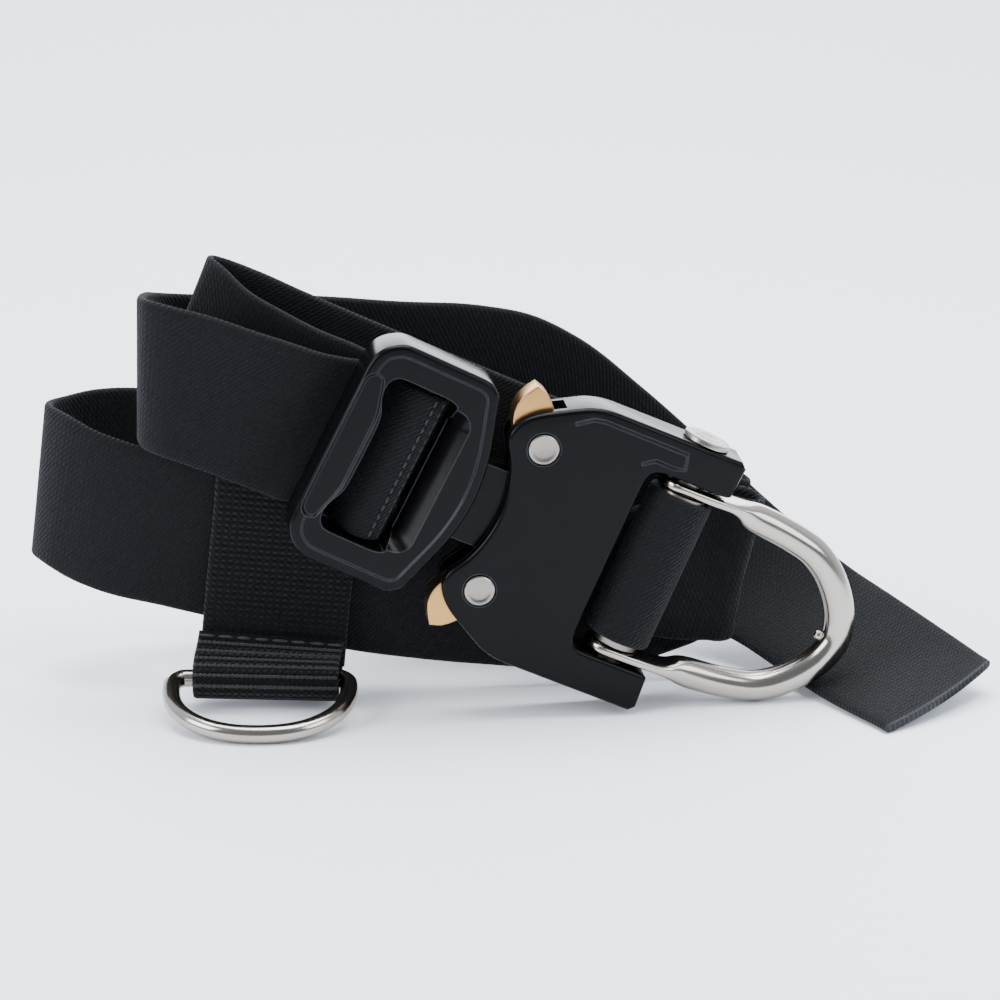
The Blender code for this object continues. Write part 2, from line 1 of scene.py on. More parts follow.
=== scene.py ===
# Rigger belt: a folded strap, a two-lever quick-release buckle, a tie-in ring and a small ring on a tab
import math
import bmesh
import bpy
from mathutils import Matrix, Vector


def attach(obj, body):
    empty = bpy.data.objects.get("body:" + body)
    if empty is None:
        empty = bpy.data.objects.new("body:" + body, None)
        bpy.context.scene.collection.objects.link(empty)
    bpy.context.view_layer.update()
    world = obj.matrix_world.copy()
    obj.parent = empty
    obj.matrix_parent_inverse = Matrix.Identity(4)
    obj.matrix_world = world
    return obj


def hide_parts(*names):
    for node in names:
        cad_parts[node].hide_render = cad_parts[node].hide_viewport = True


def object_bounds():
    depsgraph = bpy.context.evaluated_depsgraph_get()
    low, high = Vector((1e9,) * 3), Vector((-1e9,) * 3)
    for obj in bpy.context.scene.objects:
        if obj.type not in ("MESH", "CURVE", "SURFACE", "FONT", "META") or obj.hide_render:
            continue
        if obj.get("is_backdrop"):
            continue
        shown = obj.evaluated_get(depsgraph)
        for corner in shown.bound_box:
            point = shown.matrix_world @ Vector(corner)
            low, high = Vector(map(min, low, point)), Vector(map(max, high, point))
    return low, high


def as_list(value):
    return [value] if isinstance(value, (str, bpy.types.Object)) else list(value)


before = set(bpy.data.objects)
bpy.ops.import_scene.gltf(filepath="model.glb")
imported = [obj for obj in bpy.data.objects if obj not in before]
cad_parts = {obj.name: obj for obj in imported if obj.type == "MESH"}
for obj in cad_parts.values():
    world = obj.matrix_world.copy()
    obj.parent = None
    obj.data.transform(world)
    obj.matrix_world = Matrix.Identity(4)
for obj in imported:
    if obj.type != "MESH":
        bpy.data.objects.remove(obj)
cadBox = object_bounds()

# Places below are in millimetres, turned to metres and moved by centreShift when a mesh is made
centreShift = Vector((-2.01, -48.32, 0.0))
pinMiddle = Vector((40.4, 31.5, 40.1))


def linear(hexColour):
    parts = [int(hexColour[i:i + 2], 16) / 255 for i in (0, 2, 4)]
    return tuple(c / 12.92 if c <= 0.04045 else ((c + 0.055) / 1.055) ** 2.4 for c in parts) + (1.0,)


def addNode(tree, kind, settings=None, inputs=None):
    node = tree.nodes.new(kind)
    for name, value in (settings or {}).items():
        setattr(node, name, value)
    for socket, value in (inputs or {}).items():
        if isinstance(value, bpy.types.NodeSocket):
            tree.links.new(value, node.inputs[socket])
        else:
            node.inputs[socket].default_value = value
    return node


def newMaterial(name, fixed):
    made = bpy.data.materials.new(name)
    made.use_nodes = True
    shader = made.node_tree.nodes["Principled BSDF"]
    for socket, value in fixed.items():
        shader.inputs[socket].default_value = value
    return made, made.node_tree, shader


# Camera, floor and lights
view = {
    "cameraPlace": (-2.01, -1342.02, 515.8),
    "aim": (-2.01, -18.32, 60.0),
    "lens": 185.47,
    "floorColour": "f3f6fb",
    "floorCorners": [(-4.0, -3.0, -0.0002), (4.0, -3.0, -0.0002), (4.0, 6.0, -0.0002), (-4.0, 6.0, -0.0002)],
    "worldColour": "e6eefc",
    "worldFront": 0.4,
    "worldBack": 1.75,
    "lightColour": (0.93, 0.96, 1.0),
}


def makeView():
    camera = bpy.data.objects.new("studioCamera", bpy.data.cameras.new("studioCamera"))
    bpy.context.scene.collection.objects.link(camera)
    camera.location = Vector(view["cameraPlace"]) * 0.001
    toAim = Vector(view["aim"]) * 0.001 - camera.location
    camera.rotation_euler = toAim.to_track_quat("-Z", "Y").to_euler()
    camera.data.lens = view["lens"]
    camera.data.sensor_width = 36.0
    bpy.context.scene.camera = camera

    floorMesh = bpy.data.meshes.new("studioFloor")
    floorMesh.from_pydata(view["floorCorners"], [], [(0, 1, 2, 3)])
    floor = bpy.data.objects.new("studioFloor", floorMesh)
    bpy.context.scene.collection.objects.link(floor)
    paper = {"Roughness": 0.9, "Base Color": linear(view["floorColour"])}
    surface, tree, shader = newMaterial("mattPaper", paper)
    floorMesh.materials.append(surface)
    floor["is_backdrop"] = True

    world = bpy.data.worlds.new("studioWorld")
    world.use_nodes = True
    sky = world.node_tree.nodes["Background"]
    sky.inputs["Color"].default_value = linear(view["worldColour"])
    way = addNode(world.node_tree, "ShaderNodeTexCoord")
    part = addNode(world.node_tree, "ShaderNodeSeparateXYZ", {}, {0: way.outputs["Generated"]})
    fade = addNode(world.node_tree, "ShaderNodeMapRange", {"interpolation_type": "SMOOTHSTEP"},
                   {"Value": part.outputs["Y"], "From Min": -0.7, "From Max": 0.6,
                    "To Min": view["worldFront"], "To Max": view["worldBack"]})
    world.node_tree.links.new(fade.outputs[0], sky.inputs["Strength"])
    bpy.context.scene.world = world

    # name, place, aim, width, height, watts
    lamps = [
        ("softTop", (0.05, 0.10, 1.05), (0.0, 0.0, 0.03), 1.0, 0.8, 30.0),
        ("softLeft", (-0.90, -0.50, 0.60), (0.0, 0.0, 0.05), 0.6, 0.6, 12.0),
        ("softRight", (0.80, -0.55, 0.60), (0.0, 0.0, 0.05), 0.5, 0.6, 6.0),
        ("brightBack", (0.0, 1.60, 0.55), (0.0, 0.0, 0.10), 1.8, 0.8, 28.0),
    ]
    for name, place, aim, width, height, watts in lamps:
        light = bpy.data.lights.new(name, "AREA")
        light.shape = "RECTANGLE"
        light.size = width
        light.size_y = height
        light.energy = watts
        light.color = view["lightColour"]
        lamp = bpy.data.objects.new(name, light)
        bpy.context.scene.collection.objects.link(lamp)
        lamp.location = place
        lamp.rotation_euler = (Vector(aim) - Vector(place)).to_track_quat("-Z", "Y").to_euler()


makeView()
print("view and lights made")

# Finishes; pitches, widths and lengths of the webbing are in mm, relief is in metres
webbingLook = {
    "halfWidth": 22.0,
    "sealedEnd": 1127.0,  # how far along the strap its cut end is, with the slant of the cut
    "ribPitch": 1.3,  # along the strap from one twill line to the next
    "leanPitch": 1.7,  # the same across the strap
    "yarnPitch": 1.7,
    "ribShare": 0.6,
    "crossShare": 0.5,
    "fuzzShare": 3.0,
    "selvedge": 1.6,
    "dark": "060607",
    "light": "141517",
    "edge": "17181a",
    "cut": "242528",
    "relief": 0.0002,
    "sheen": 0.05,
}
tabLook = {
    **webbingLook,
    "halfWidth": 20.0,
    "sealedEnd": 400.0,  # past the tab's ends, which are sewn in
    "ribPitch": 1.75,
    "leanPitch": 1e6,  # the tab's ribs run straight across
    "yarnPitch": 2.0,
    "ribShare": 0.9,
    "crossShare": 1.0,
    "light": "0d0e10",
    "relief": 0.0004,
}


def wovenWebbing(name, look):
    # Woven polyester webbing: matt charcoal yarn in fine ribs that lean across it, denser at the selvedges
    fixed = {"Sheen Weight": look["sheen"], "Sheen Roughness": 0.45, "Specular IOR Level": 0.12}
    made, tree, shader = newMaterial(name, fixed)
    way = addNode(tree, "ShaderNodeAttribute", {"attribute_name": "weaveWay"})
    part = addNode(tree, "ShaderNodeSeparateXYZ", {}, {0: way.outputs["Vector"]})
    ribTurn = addNode(tree, "ShaderNodeMath", {"operation": "MULTIPLY"},
                      {0: part.outputs["X"], 1: 2 * math.pi / look["ribPitch"]})
    leaning = addNode(tree, "ShaderNodeMath", {"operation": "MULTIPLY_ADD"},
                      {0: part.outputs["Y"], 1: 2 * math.pi / look["leanPitch"], 2: ribTurn.outputs[0]})
    rib = addNode(tree, "ShaderNodeMath", {"operation": "SINE"}, {0: leaning.outputs[0]})
    yarnTurn = addNode(tree, "ShaderNodeMath", {"operation": "MULTIPLY"},
                       {0: part.outputs["Y"], 1: 2 * math.pi / look["yarnPitch"]})
    yarn = addNode(tree, "ShaderNodeMath", {"operation": "COSINE"}, {0: yarnTurn.outputs[0]})
    crossing = addNode(tree, "ShaderNodeMath", {"operation": "MULTIPLY_ADD"},
                       {0: yarn.outputs[0], 1: look["crossShare"], 2: look["ribShare"]})
    shared = addNode(tree, "ShaderNodeMath", {"operation": "MULTIPLY"},
                     {0: rib.outputs[0], 1: crossing.outputs[0]})
    fuzz = addNode(tree, "ShaderNodeTexNoise", {},
                   {"Vector": way.outputs["Vector"], "Scale": 1.3, "Detail": 4.0, "Roughness": 0.65})
    height = addNode(tree, "ShaderNodeMath", {"operation": "MULTIPLY_ADD"},
                     {0: fuzz.outputs["Fac"], 1: look["fuzzShare"], 2: shared.outputs[0]})
    level = addNode(tree, "ShaderNodeMapRange", {},
                    {"Value": height.outputs[0], "From Min": -0.3, "From Max": 3.3})
    yarnColour = addNode(tree, "ShaderNodeMix", {"data_type": "RGBA"},
                         {0: level.outputs[0], 6: linear(look["dark"]), 7: linear(look["light"])})
    outwards = addNode(tree, "ShaderNodeMath", {"operation": "ABSOLUTE"}, {0: part.outputs["Y"]})
    selvedge = addNode(tree, "ShaderNodeMapRange", {"interpolation_type": "SMOOTHSTEP"},
                       {"Value": outwards.outputs[0], "From Min": look["halfWidth"] - look["selvedge"],
                        "From Max": look["halfWidth"], "To Max": 0.55})
    colour = addNode(tree, "ShaderNodeMix", {"data_type": "RGBA"},
                     {0: selvedge.outputs[0], 6: yarnColour.outputs[2], 7: linear(look["edge"])})
    sealed = addNode(tree, "ShaderNodeMapRange", {"interpolation_type": "SMOOTHSTEP"},
                     {"Value": part.outputs["X"], "From Min": look["sealedEnd"] - 2.2,
                      "From Max": look["sealedEnd"] - 0.6})
    sealedColour = addNode(tree, "ShaderNodeMix", {"data_type": "RGBA"},
                           {0: sealed.outputs[0], 6: colour.outputs[2], 7: linear(look["cut"])})
    sealedRough = addNode(tree, "ShaderNodeMapRange", {},
                          {"Value": sealed.outputs[0], "To Min": 0.82, "To Max": 0.5})
    bump = addNode(tree, "ShaderNodeBump", {},
                   {"Height": height.outputs[0], "Distance": look["relief"], "Strength": 0.8})
    tree.links.new(sealedColour.outputs[2], shader.inputs["Base Color"])
    tree.links.new(sealedRough.outputs[0], shader.inputs["Roughness"])
    tree.links.new(bump.outputs[0], shader.inputs["Normal"])
    return made


# The second colour of each finish is a lighter colour painted along the edges as a highlight
metalLook = {
    "blackAnodised": {"colour": "070708", "edgeHighlight": "4c4e52", "metallic": 0.0, "roughness": 0.22,
                      "level": 0.09, "grain": 0.00002},
    "polishedSteel": {"colour": "a8a198", "edgeHighlight": "bab4ab", "metallic": 1.0, "roughness": 0.19,
                      "level": 0.5, "grain": 0.000003},
    "turnedSteel": {"colour": "8d867e", "edgeHighlight": "aaa49c", "metallic": 1.0, "roughness": 0.33,
                    "level": 0.5, "grain": 0.00001},
    "goldAnodised": {"colour": "b98d55", "edgeHighlight": "d9bd8c", "metallic": 1.0, "roughness": 0.28,
                     "level": 0.5, "grain": 0.00001},
}


def metalFinish(name, look):
    # Anodised aluminium or turned steel: a fine blasted grain, and a painted highlight that lightens the
    # rounded edges
    fixed = {"Metallic": look["metallic"], "Specular IOR Level": look["level"]}
    made, tree, shader = newMaterial(name, fixed)
    place = addNode(tree, "ShaderNodeTexCoord")
    grain = addNode(tree, "ShaderNodeTexNoise", {},
                    {"Vector": place.outputs["Object"], "Scale": 3200.0, "Detail": 2.0})
    smudge = addNode(tree, "ShaderNodeTexNoise", {},
                     {"Vector": place.outputs["Object"], "Scale": 60.0, "Detail": 3.0})
    rounded = addNode(tree, "ShaderNodeBevel", {"samples": 4}, {"Radius": 0.0006})
    face = addNode(tree, "ShaderNodeNewGeometry")
    alike = addNode(tree, "ShaderNodeVectorMath", {"operation": "DOT_PRODUCT"},
                    {0: rounded.outputs[0], 1: face.outputs["Normal"]})
    # Painted highlight: where the bevelled normal turns away from the face normal, the colour is mixed
    # towards the lighter edge colour
    paintedHighlightMask = addNode(tree, "ShaderNodeMapRange", {},
                     {"Value": alike.outputs["Value"], "From Min": 0.985, "From Max": 0.90, "To Max": 0.6})
    colour = addNode(tree, "ShaderNodeMix", {"data_type": "RGBA"},
                     {0: paintedHighlightMask.outputs[0], 6: linear(look["colour"]), 7: linear(look["edgeHighlight"])})
    rough = addNode(tree, "ShaderNodeMapRange", {},
                    {"Value": smudge.outputs["Fac"], "From Min": 0.3, "From Max": 0.7,
                     "To Min": look["roughness"] * 0.85, "To Max": look["roughness"] * 1.2})
    bump = addNode(tree, "ShaderNodeBump", {},
                   {"Height": grain.outputs["Fac"], "Distance": look["grain"], "Strength": 0.5})
    tree.links.new(colour.outputs[2], shader.inputs["Base Color"])
    tree.links.new(rough.outputs[0], shader.inputs["Roughness"])
    tree.links.new(bump.outputs[0], shader.inputs["Normal"])
    return made


def twistedYarn(name, look):
    # Twisted polyester: fine strands in two near-black tones that give a stitch or cord its fibrous look
    made, tree, shader = newMaterial(name, {"Roughness": look["roughness"], "Sheen Weight": 0.1})
    place = addNode(tree, "ShaderNodeTexCoord")
    strands = addNode(tree, "ShaderNodeTexNoise", {},
                      {"Vector": place.outputs["Object"], "Scale": look["scale"], "Detail": 3.0})
    colour = addNode(tree, "ShaderNodeMix", {"data_type": "RGBA"},
                     {0: strands.outputs["Fac"], 6: linear(look["dark"]), 7: linear(look["light"])})
    bump = addNode(tree, "ShaderNodeBump", {},
                   {"Height": strands.outputs["Fac"], "Distance": 0.00015, "Strength": 0.6})
    tree.links.new(colour.outputs[2], shader.inputs["Base Color"])
    tree.links.new(bump.outputs[0], shader.inputs["Normal"])
    return made


yarnLook = {
    "thread": {"dark": "0c0d0f", "light": "202225", "roughness": 0.6, "scale": 1800.0},
    "cord": {"dark": "08090a", "light": "17181b", "roughness": 0.7, "scale": 1200.0},
}
strapWeave = wovenWebbing("wovenPolyester", webbingLook)
tabWeave = wovenWebbing("wovenPolyesterTab", tabLook)
thread = twistedYarn("bondedThread", yarnLook["thread"])
cordYarn = twistedYarn("twistedCord", yarnLook["cord"])
blackMetal = metalFinish("blackAnodisedAluminium", metalLook["blackAnodised"])
ringSteel = metalFinish("polishedSteel", metalLook["polishedSteel"])
pinSteel = metalFinish("turnedSteel", metalLook["turnedSteel"])
leverMetal = metalFinish("goldAnodisedAluminium", metalLook["goldAnodised"])
print("finishes made")

# Buckle axes: u runs along the belt, v across it and n towards the viewer, from the pin's middle
buckle = {"yaw": 7.7, "lean": 1.3, "roll": 24.3, "frameTurn": 2.7, "frameTurnU": -50.0, "frameShiftV": -0.3}


def axesOf(yaw, lean, roll):
    yaw, lean, roll = math.radians(yaw), math.radians(lean), math.radians(roll)
    level = Vector((math.cos(yaw), math.sin(yaw), 0.0))
    facing = Vector((math.sin(yaw), -math.cos(yaw), 0.0))
    up = Vector((0.0, 0.0, 1.0))
    rise = up * math.cos(lean) - facing * math.sin(lean)
    along = level * math.cos(roll) - rise * math.sin(roll)
    across = -level * math.sin(roll) - rise * math.cos(roll)
    return along, across, facing * math.cos(lean) + up * math.sin(lean)


along, across, normal = axesOf(buckle["yaw"], buckle["lean"], buckle["roll"])
frameRoll = buckle["roll"] + buckle["frameTurn"]
frameAlong, frameAcross, frameNormal = axesOf(buckle["yaw"], buckle["lean"], frameRoll)


def bodyPlace(u, v, n):
    return pinMiddle + along * u + across * v + normal * n


def framePlace(u, v, n):
    pivot = pinMiddle + along * buckle["frameTurnU"] + across * buckle["frameShiftV"]
    return pivot + frameAlong * (u - buckle["frameTurnU"]) + frameAcross * v + frameNormal * n


def newPiece(name, points, faces, surface):
    mesh = bpy.data.meshes.new(name)
    mesh.from_pydata([(p + centreShift) * 0.001 for p in points], [], faces)
    shape = bmesh.new()
    shape.from_mesh(mesh)
    bmesh.ops.recalc_face_normals(shape, faces=shape.faces)
    shape.to_mesh(mesh)
    shape.free()
    mesh.materials.append(surface)
    piece = bpy.data.objects.new(name, mesh)
    bpy.context.scene.collection.objects.link(piece)
    return piece


def applied(piece):
    # Keeps the modifiers' result as the piece's own mesh
    bpy.context.view_layer.update()
    result = bpy.data.meshes.new_from_object(piece.evaluated_get(bpy.context.evaluated_depsgraph_get()))
    piece.modifiers.clear()
    piece.data = result
    return piece


def combined(piece, others, operation):
    for other in others:
        step = piece.modifiers.new("cut", "BOOLEAN")
        step.operation = operation
        step.solver = "EXACT"
        step.object = other
    applied(piece)
    for other in others:
        bpy.data.objects.remove(other, do_unlink=True)
    return piece


def shaded(piece, angle=38.0):
    piece.data.shade_smooth()
    piece.data.set_sharp_from_angle(angle=math.radians(angle))
    return piece


def rounded(outlines, passes=2, sharpest=44.0, reach=1.3):
    # Cuts shallow corners again and again, so that a coarse arc turns smooth, and keeps the sharp corners
    # The first outline says where, so that outlines of equal count stay equal
    for turn in range(passes):
        base = [Vector(corner) for corner in outlines[0]]
        count = len(base)
        cuts = []
        for i, here in enumerate(base):
            before, after = base[i - 1] - here, base[(i + 1) % count] - here
            sharp = math.degrees((-before).angle(after)) > sharpest
            shares = (min(reach / before.length, 0.25), min(reach / after.length, 0.25))
            cuts.append(None if sharp else shares)
        made = []
        for outline in outlines:
            corners = [Vector(corner) for corner in outline]
            path = []
            for i, here in enumerate(corners):
                if cuts[i] is None:
                    path.append(here)
                    continue
                path.append(here.lerp(corners[i - 1], cuts[i][0]))
                path.append(here.lerp(corners[(i + 1) % count], cuts[i][1]))
            made.append(path)
        outlines = made
    return outlines


def mirrored(half):
    return half + [(u, -v) for u, v in reversed(half) if abs(v) > 1e-6]


def closedHalf(half):
    return half + [(u, -v) for u, v in reversed(half[1:-1])]


def inset(outline, amount):
    # Moves an outline inwards, or outwards for a negative amount
    area = sum(outline[i - 1][0] * here[1] - here[0] * outline[i - 1][1] for i, here in enumerate(outline))
    amount = amount if area < 0 else -amount
    moved = []
    for i, here in enumerate(outline):
        before, after = outline[i - 1], outline[(i + 1) % len(outline)]
        first = Vector((here[0] - before[0], here[1] - before[1])).normalized()
        turn = first + Vector((after[0] - here[0], after[1] - here[1])).normalized()
        inward = Vector((turn.y, -turn.x)).normalized()
        bend = max(0.35, inward.dot(Vector((first.y, -first.x))))
        moved.append((here[0] + inward.x * amount / bend, here[1] + inward.y * amount / bend))
    return moved


def stacked(name, levels, place, surface):
    # A solid through outlines of equal count, each at its own height
    count = len(levels[0][0])
    points = [place(u, v, height) for outline, height in levels for u, v in outline]
    faces = []
    for row in range(len(levels) - 1):
        for i in range(count):
            j = (i + 1) % count
            faces.append((row * count + i, row * count + j, (row + 1) * count + j, (row + 1) * count + i))
    last = (len(levels) - 1) * count
    faces += [tuple(range(count)), tuple(range(last, last + count))]
    return newPiece(name, points, faces, surface)


def slab(name, outline, low, high, place, surface, edge=0.0, spread=0.0, sharpest=44.0):
    # edge rounds both rims by that radius; spread makes the upper outline larger all round
    if not edge:
        base, wide = rounded([outline, inset(outline, -spread) if spread else outline], sharpest=sharpest)
        return stacked(name, [(base, low), (wide, high)], place, surface)
    arc = [math.radians(angle) for angle in (90, 72, 54, 36, 18, 0)]
    rims = rounded([outline] + [inset(outline, edge * (1 - math.sin(a))) for a in arc[1:]], sharpest=sharpest)
    rises = [edge * (1 - math.cos(a)) for a in arc]
    levels = [(rim, low + rise) for rim, rise in zip(reversed(rims), reversed(rises))]
    levels += [(rim, high - rise) for rim, rise in zip(rims, rises)]
    return stacked(name, levels, place, surface)


def flaredCutter(name, outline, half, edge, place, surface):
    # Cuts through a plate from -half to half and leaves both of the hole's rims rounded
    arc = [math.radians(angle) for angle in (90, 72, 54, 36, 18, 0)]
    rims = rounded([outline] + [inset(outline, -edge * (1 - math.sin(a))) for a in arc[1:]])
    drops = [edge * (1 - math.cos(a)) for a in arc]
    levels = [(rims[-1], -half - 3.0)]
    levels += [(rim, -half + drop) for rim, drop in zip(reversed(rims), reversed(drops))]
    levels += [(rim, half - drop) for rim, drop in zip(rims, drops)] + [(rims[-1], half + 3.0)]
    return stacked(name, levels, place, surface)


def turnedPiece(name, rows, sides, place, surface):
    # Rows of radius and distance along the axis; place takes two crosswise values and the distance
    points = []
    for radius, level in rows:
        for i in range(sides):
            angle = 2 * math.pi * i / sides
            points.append(place(radius * math.cos(angle), radius * math.sin(angle), level))
    faces = []
    for row in range(len(rows) - 1):
        for i in range(sides):
            j = (i + 1) % sides
            faces.append((row * sides + i, row * sides + j, (row + 1) * sides + j, (row + 1) * sides + i))
    faces += [tuple(range(sides)), tuple((len(rows) - 1) * sides + i for i in range(sides))]
    return newPiece(name, points, faces, surface)


def finished(piece, body, slot, *nodes):
    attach(piece, body)
    if nodes:
        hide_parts(*nodes)
    return piece


def pinPlace(a, b, level):
    return bodyPlace(a, level, b)


# Female body of the buckle
bodySizes = {
    "halfDepth": 7.0, "pocketHalfDepth": 4.0, "boreRadius": 4.3, "edge": 1.3, "ridgeRadius": 0.5,
    "rivetU": -42.2, "rivetV": 21.5, "rivetRadius": 2.3, "seatRadius": 4.6, "seatDepth": 6.1, "seatRim": 5.2,
}
bodyHalf = [
    (-45.7, 0.0), (-46.1, 4.8), (-47.1, 9.6), (-48.8, 14.2), (-50.6, 17.2), (-52.3, 19.8), (-52.7, 22.8),
    (-51.2, 26.4), (-47.6, 29.9), (-43.2, 32.4), (-38.6, 34.9), (-34.6, 37.0), (-29.5, 38.2), (10.2, 38.2),
    (11.8, 36.6), (11.2, 28.0), (10.2, 27.2), (-9.2, 27.2), (-11.6, 26.2), (-12.7, 23.8), (-12.7, 0.0),
]
ridgeLine = [
    (-37.1, -31.3), (-33.0, -34.2), (-29.7, -34.9), (-5.0, -34.7), (-4.0, -30.5), (-6.7, -29.8),
    (-12.5, -29.9), (-15.7, -27.7),
]


def rodAlong(name, centreLine, radius, sides, surface):
    # A capped rod of one radius through open points
    points = []
    for i, point in enumerate(centreLine):
        heading = (centreLine[min(len(centreLine) - 1, i + 1)] - centreLine[max(0, i - 1)]).normalized()
        outward = heading.cross(normal).normalized()
        upward = outward.cross(heading)
        for k in range(sides):
            angle = 2 * math.pi * k / sides
            points.append(point + (outward * math.cos(angle) + upward * math.sin(angle)) * radius)
    faces = []
    for i in range(len(centreLine) - 1):
        for k in range(sides):
            m = (k + 1) % sides
            faces.append((i * sides + k, i * sides + m, (i + 1) * sides + m, (i + 1) * sides + k))
    faces += [tuple(range(sides)), tuple((len(centreLine) - 1) * sides + k for k in range(sides))]
    return newPiece(name, points, faces, surface)


def rivetPlaceOf(side):
    def place(a, b, level):
        return bodyPlace(bodySizes["rivetU"] + a, side * bodySizes["rivetV"] + b, level)
    return place


def makeBody():
    half = bodySizes["halfDepth"]
    outline = closedHalf(bodyHalf)
    body = slab("buckleBody", outline, -half, half, bodyPlace, blackMetal, bodySizes["edge"])
    pocketHalf = [
        (-62.0, 44.0), (-40.6, 44.0), (-40.6, 33.6), (-36.4, 28.0), (-33.0, 23.0), (-26.4, 23.0),
        (-23.6, 20.0),
    ]
    depth = bodySizes["pocketHalfDepth"]
    cutters = [slab("pocket", mirrored(pocketHalf), -depth, depth, bodyPlace, blackMetal)]
    hole, seat = bodySizes["rivetRadius"], bodySizes["seatRadius"]
    seatRows = [(seat, bodySizes["seatDepth"]), (seat, half), (bodySizes["seatRim"], 9)]
    for side in (-1, 1):
        place = rivetPlaceOf(side)
        cutters.append(turnedPiece("hole", [(hole, -9), (hole, 9)], 32, place, blackMetal))
        cutters.append(turnedPiece("frontSeat", seatRows, 48, place, blackMetal))
        backRows = [(radius, -level) for radius, level in reversed(seatRows)]
        cutters.append(turnedPiece("backSeat", backRows, 48, place, blackMetal))
    bore = bodySizes["boreRadius"]
    cutters.append(turnedPiece("bore", [(bore, -42), (bore, 42)], 48, pinPlace, blackMetal))
    combined(body, cutters, "DIFFERENCE")
    line = [bodyPlace(u, v, half - 0.05) for u, v in ridgeLine]
    combined(body, [rodAlong("ridge", line, bodySizes["ridgeRadius"], 12, blackMetal)], "UNION")
    shaded(body)
    return finished(body, "belt", "black_coating", "buckle_body")


makeBody()
print("body made")

# Levers, with their rivets
leverSizes = {"halfDepth": 3.6, "boreRadius": 2.3, "edge": 0.4}
leverHalf = [
    (-52.0, 33.6), (-50.2, 36.4), (-46.6, 35.4), (-43.0, 31.9), (-39.4, 28.2), (-35.8, 24.0), (-33.6, 20.6),
    (-29.6, 19.4), (-27.9, 17.4), (-28.6, 15.0), (-30.5, 12.2), (-35.0, 13.0), (-40.0, 15.0), (-45.0, 16.4),
    (-49.0, 20.0), (-52.0, 23.6), (-53.4, 27.2), (-53.3, 30.6),
]
rivetRows = [
    (2.4, -7.0), (2.9, -7.1), (3.3, -7.3), (3.8, -7.3), (4.1, -7.1), (4.15, -6.4), (2.0, -6.4), (2.0, 6.4),
    (4.15, 6.4), (4.1, 7.1), (3.8, 7.3), (3.3, 7.3), (2.9, 7.1), (2.4, 7.0),
]
for side, tag in ((-1, "Upper"), (1, "Lower")):
    place = rivetPlaceOf(side)
    outline = [(u, side * v) for u, v in leverHalf]
    depth = leverSizes["halfDepth"]
    edge = leverSizes["edge"]
    bore = leverSizes["boreRadius"]
    lever = slab("lever" + tag, outline, -depth, depth, bodyPlace, leverMetal, edge, sharpest=30.0)
    hole = turnedPiece("hole", [(bore, -5), (bore, 5)], 32, place, leverMetal)
    combined(lever, [hole], "DIFFERENCE")
    finished(shaded(lever, 32.0), "lever_" + tag.lower(), "lever_gold", "lever_" + tag.lower())
    rivet = shaded(turnedPiece("rivet" + tag, rivetRows, 48, place, pinSteel), 30.0)
    finished(rivet, "belt", "pin_steel", "rivet_" + tag.lower())

# Cross pin and roller
pinRows = [
    (2.6, -39.8), (3.0, -40.0), (6.0, -40.0), (6.4, -39.85), (6.6, -39.5), (6.6, -38.5), (4.0, -38.5),
    (4.0, 37.4), (3.8, 37.8), (3.4, 38.0),
]
crossPin = shaded(turnedPiece("crossPin", pinRows, 48, pinPlace, pinSteel), 30.0)
finished(crossPin, "belt", "pin_steel", "cross_pin")
rollerRows = [(6.2, -23.2), (6.55, -23.1), (6.7, -22.8), (6.7, 22.8), (6.55, 23.1), (6.2, 23.2)]
roller = turnedPiece("pinRoller", rollerRows, 48, pinPlace, pinSteel)
combined(roller, [turnedPiece("bore", [(4.3, -30), (4.3, 30)], 48, pinPlace, pinSteel)], "DIFFERENCE")
finished(shaded(roller, 30.0), "belt", "pin_steel", "pin_roller")
print("levers, rivets and pin made")


def curved(rows, steps, closed=False):
    # Smooth rows between the given ones; each value follows its own curve
    made = []
    count = len(rows)
    for i in range(count if closed else count - 1):
        if closed:
            a, b, c, d = rows[i - 1], rows[i], rows[(i + 1) % count], rows[(i + 2) % count]
        else:
            a, b, c, d = rows[max(0, i - 1)], rows[i], rows[i + 1], rows[min(count - 1, i + 2)]
        for k in range(steps):
            t = k / steps
            row = []
            for p, q, r, s in zip(a, b, c, d):
                cubic = 2 * p - 5 * q + 4 * r - s + t * (3 * (q - r) + s - p)
                row.append(q + 0.5 * t * (r - p + t * cubic))
            made.append(tuple(row))
    return made if closed else made + [rows[-1]]


# Tie-in ring: flat legs with eyes on the pin, swelling into a round rod that closes the loop
tieRing = {"sides": 32, "steps": 4, "boreRadius": 4.3, "edge": 0.5}
tieRingHalf = [
    # u, v, half size in the ring's plane, half size along n, roundness exponent
    (-7.6, 24.9, 1.5, 2.2, 4.0), (-7.0, 24.9, 1.5, 3.8, 4.0), (-5.6, 24.9, 1.5, 5.6, 4.0),
    (-3.6, 24.9, 1.5, 6.8, 4.0), (0.0, 24.9, 1.5, 7.0, 4.0), (8.0, 24.9, 1.5, 6.6, 4.0),
    (13.5, 24.9, 1.6, 5.8, 3.6), (16.8, 24.6, 2.4, 5.0, 3.0), (19.6, 24.0, 3.7, 4.5, 2.4),
    (23.0, 23.7, 4.3, 4.3, 2.0), (29.0, 23.2, 4.3, 4.3, 2.0), (35.0, 22.3, 4.3, 4.3, 2.0),
    (40.9, 20.8, 4.3, 4.3, 2.0), (46.0, 18.0, 4.3, 4.3, 2.0), (50.3, 14.2, 4.3, 4.3, 2.0),
    (54.0, 9.6, 4.3, 4.3, 2.0), (56.4, 4.9, 4.3, 4.3, 2.0), (57.4, 0.0, 4.3, 4.3, 2.0),
]


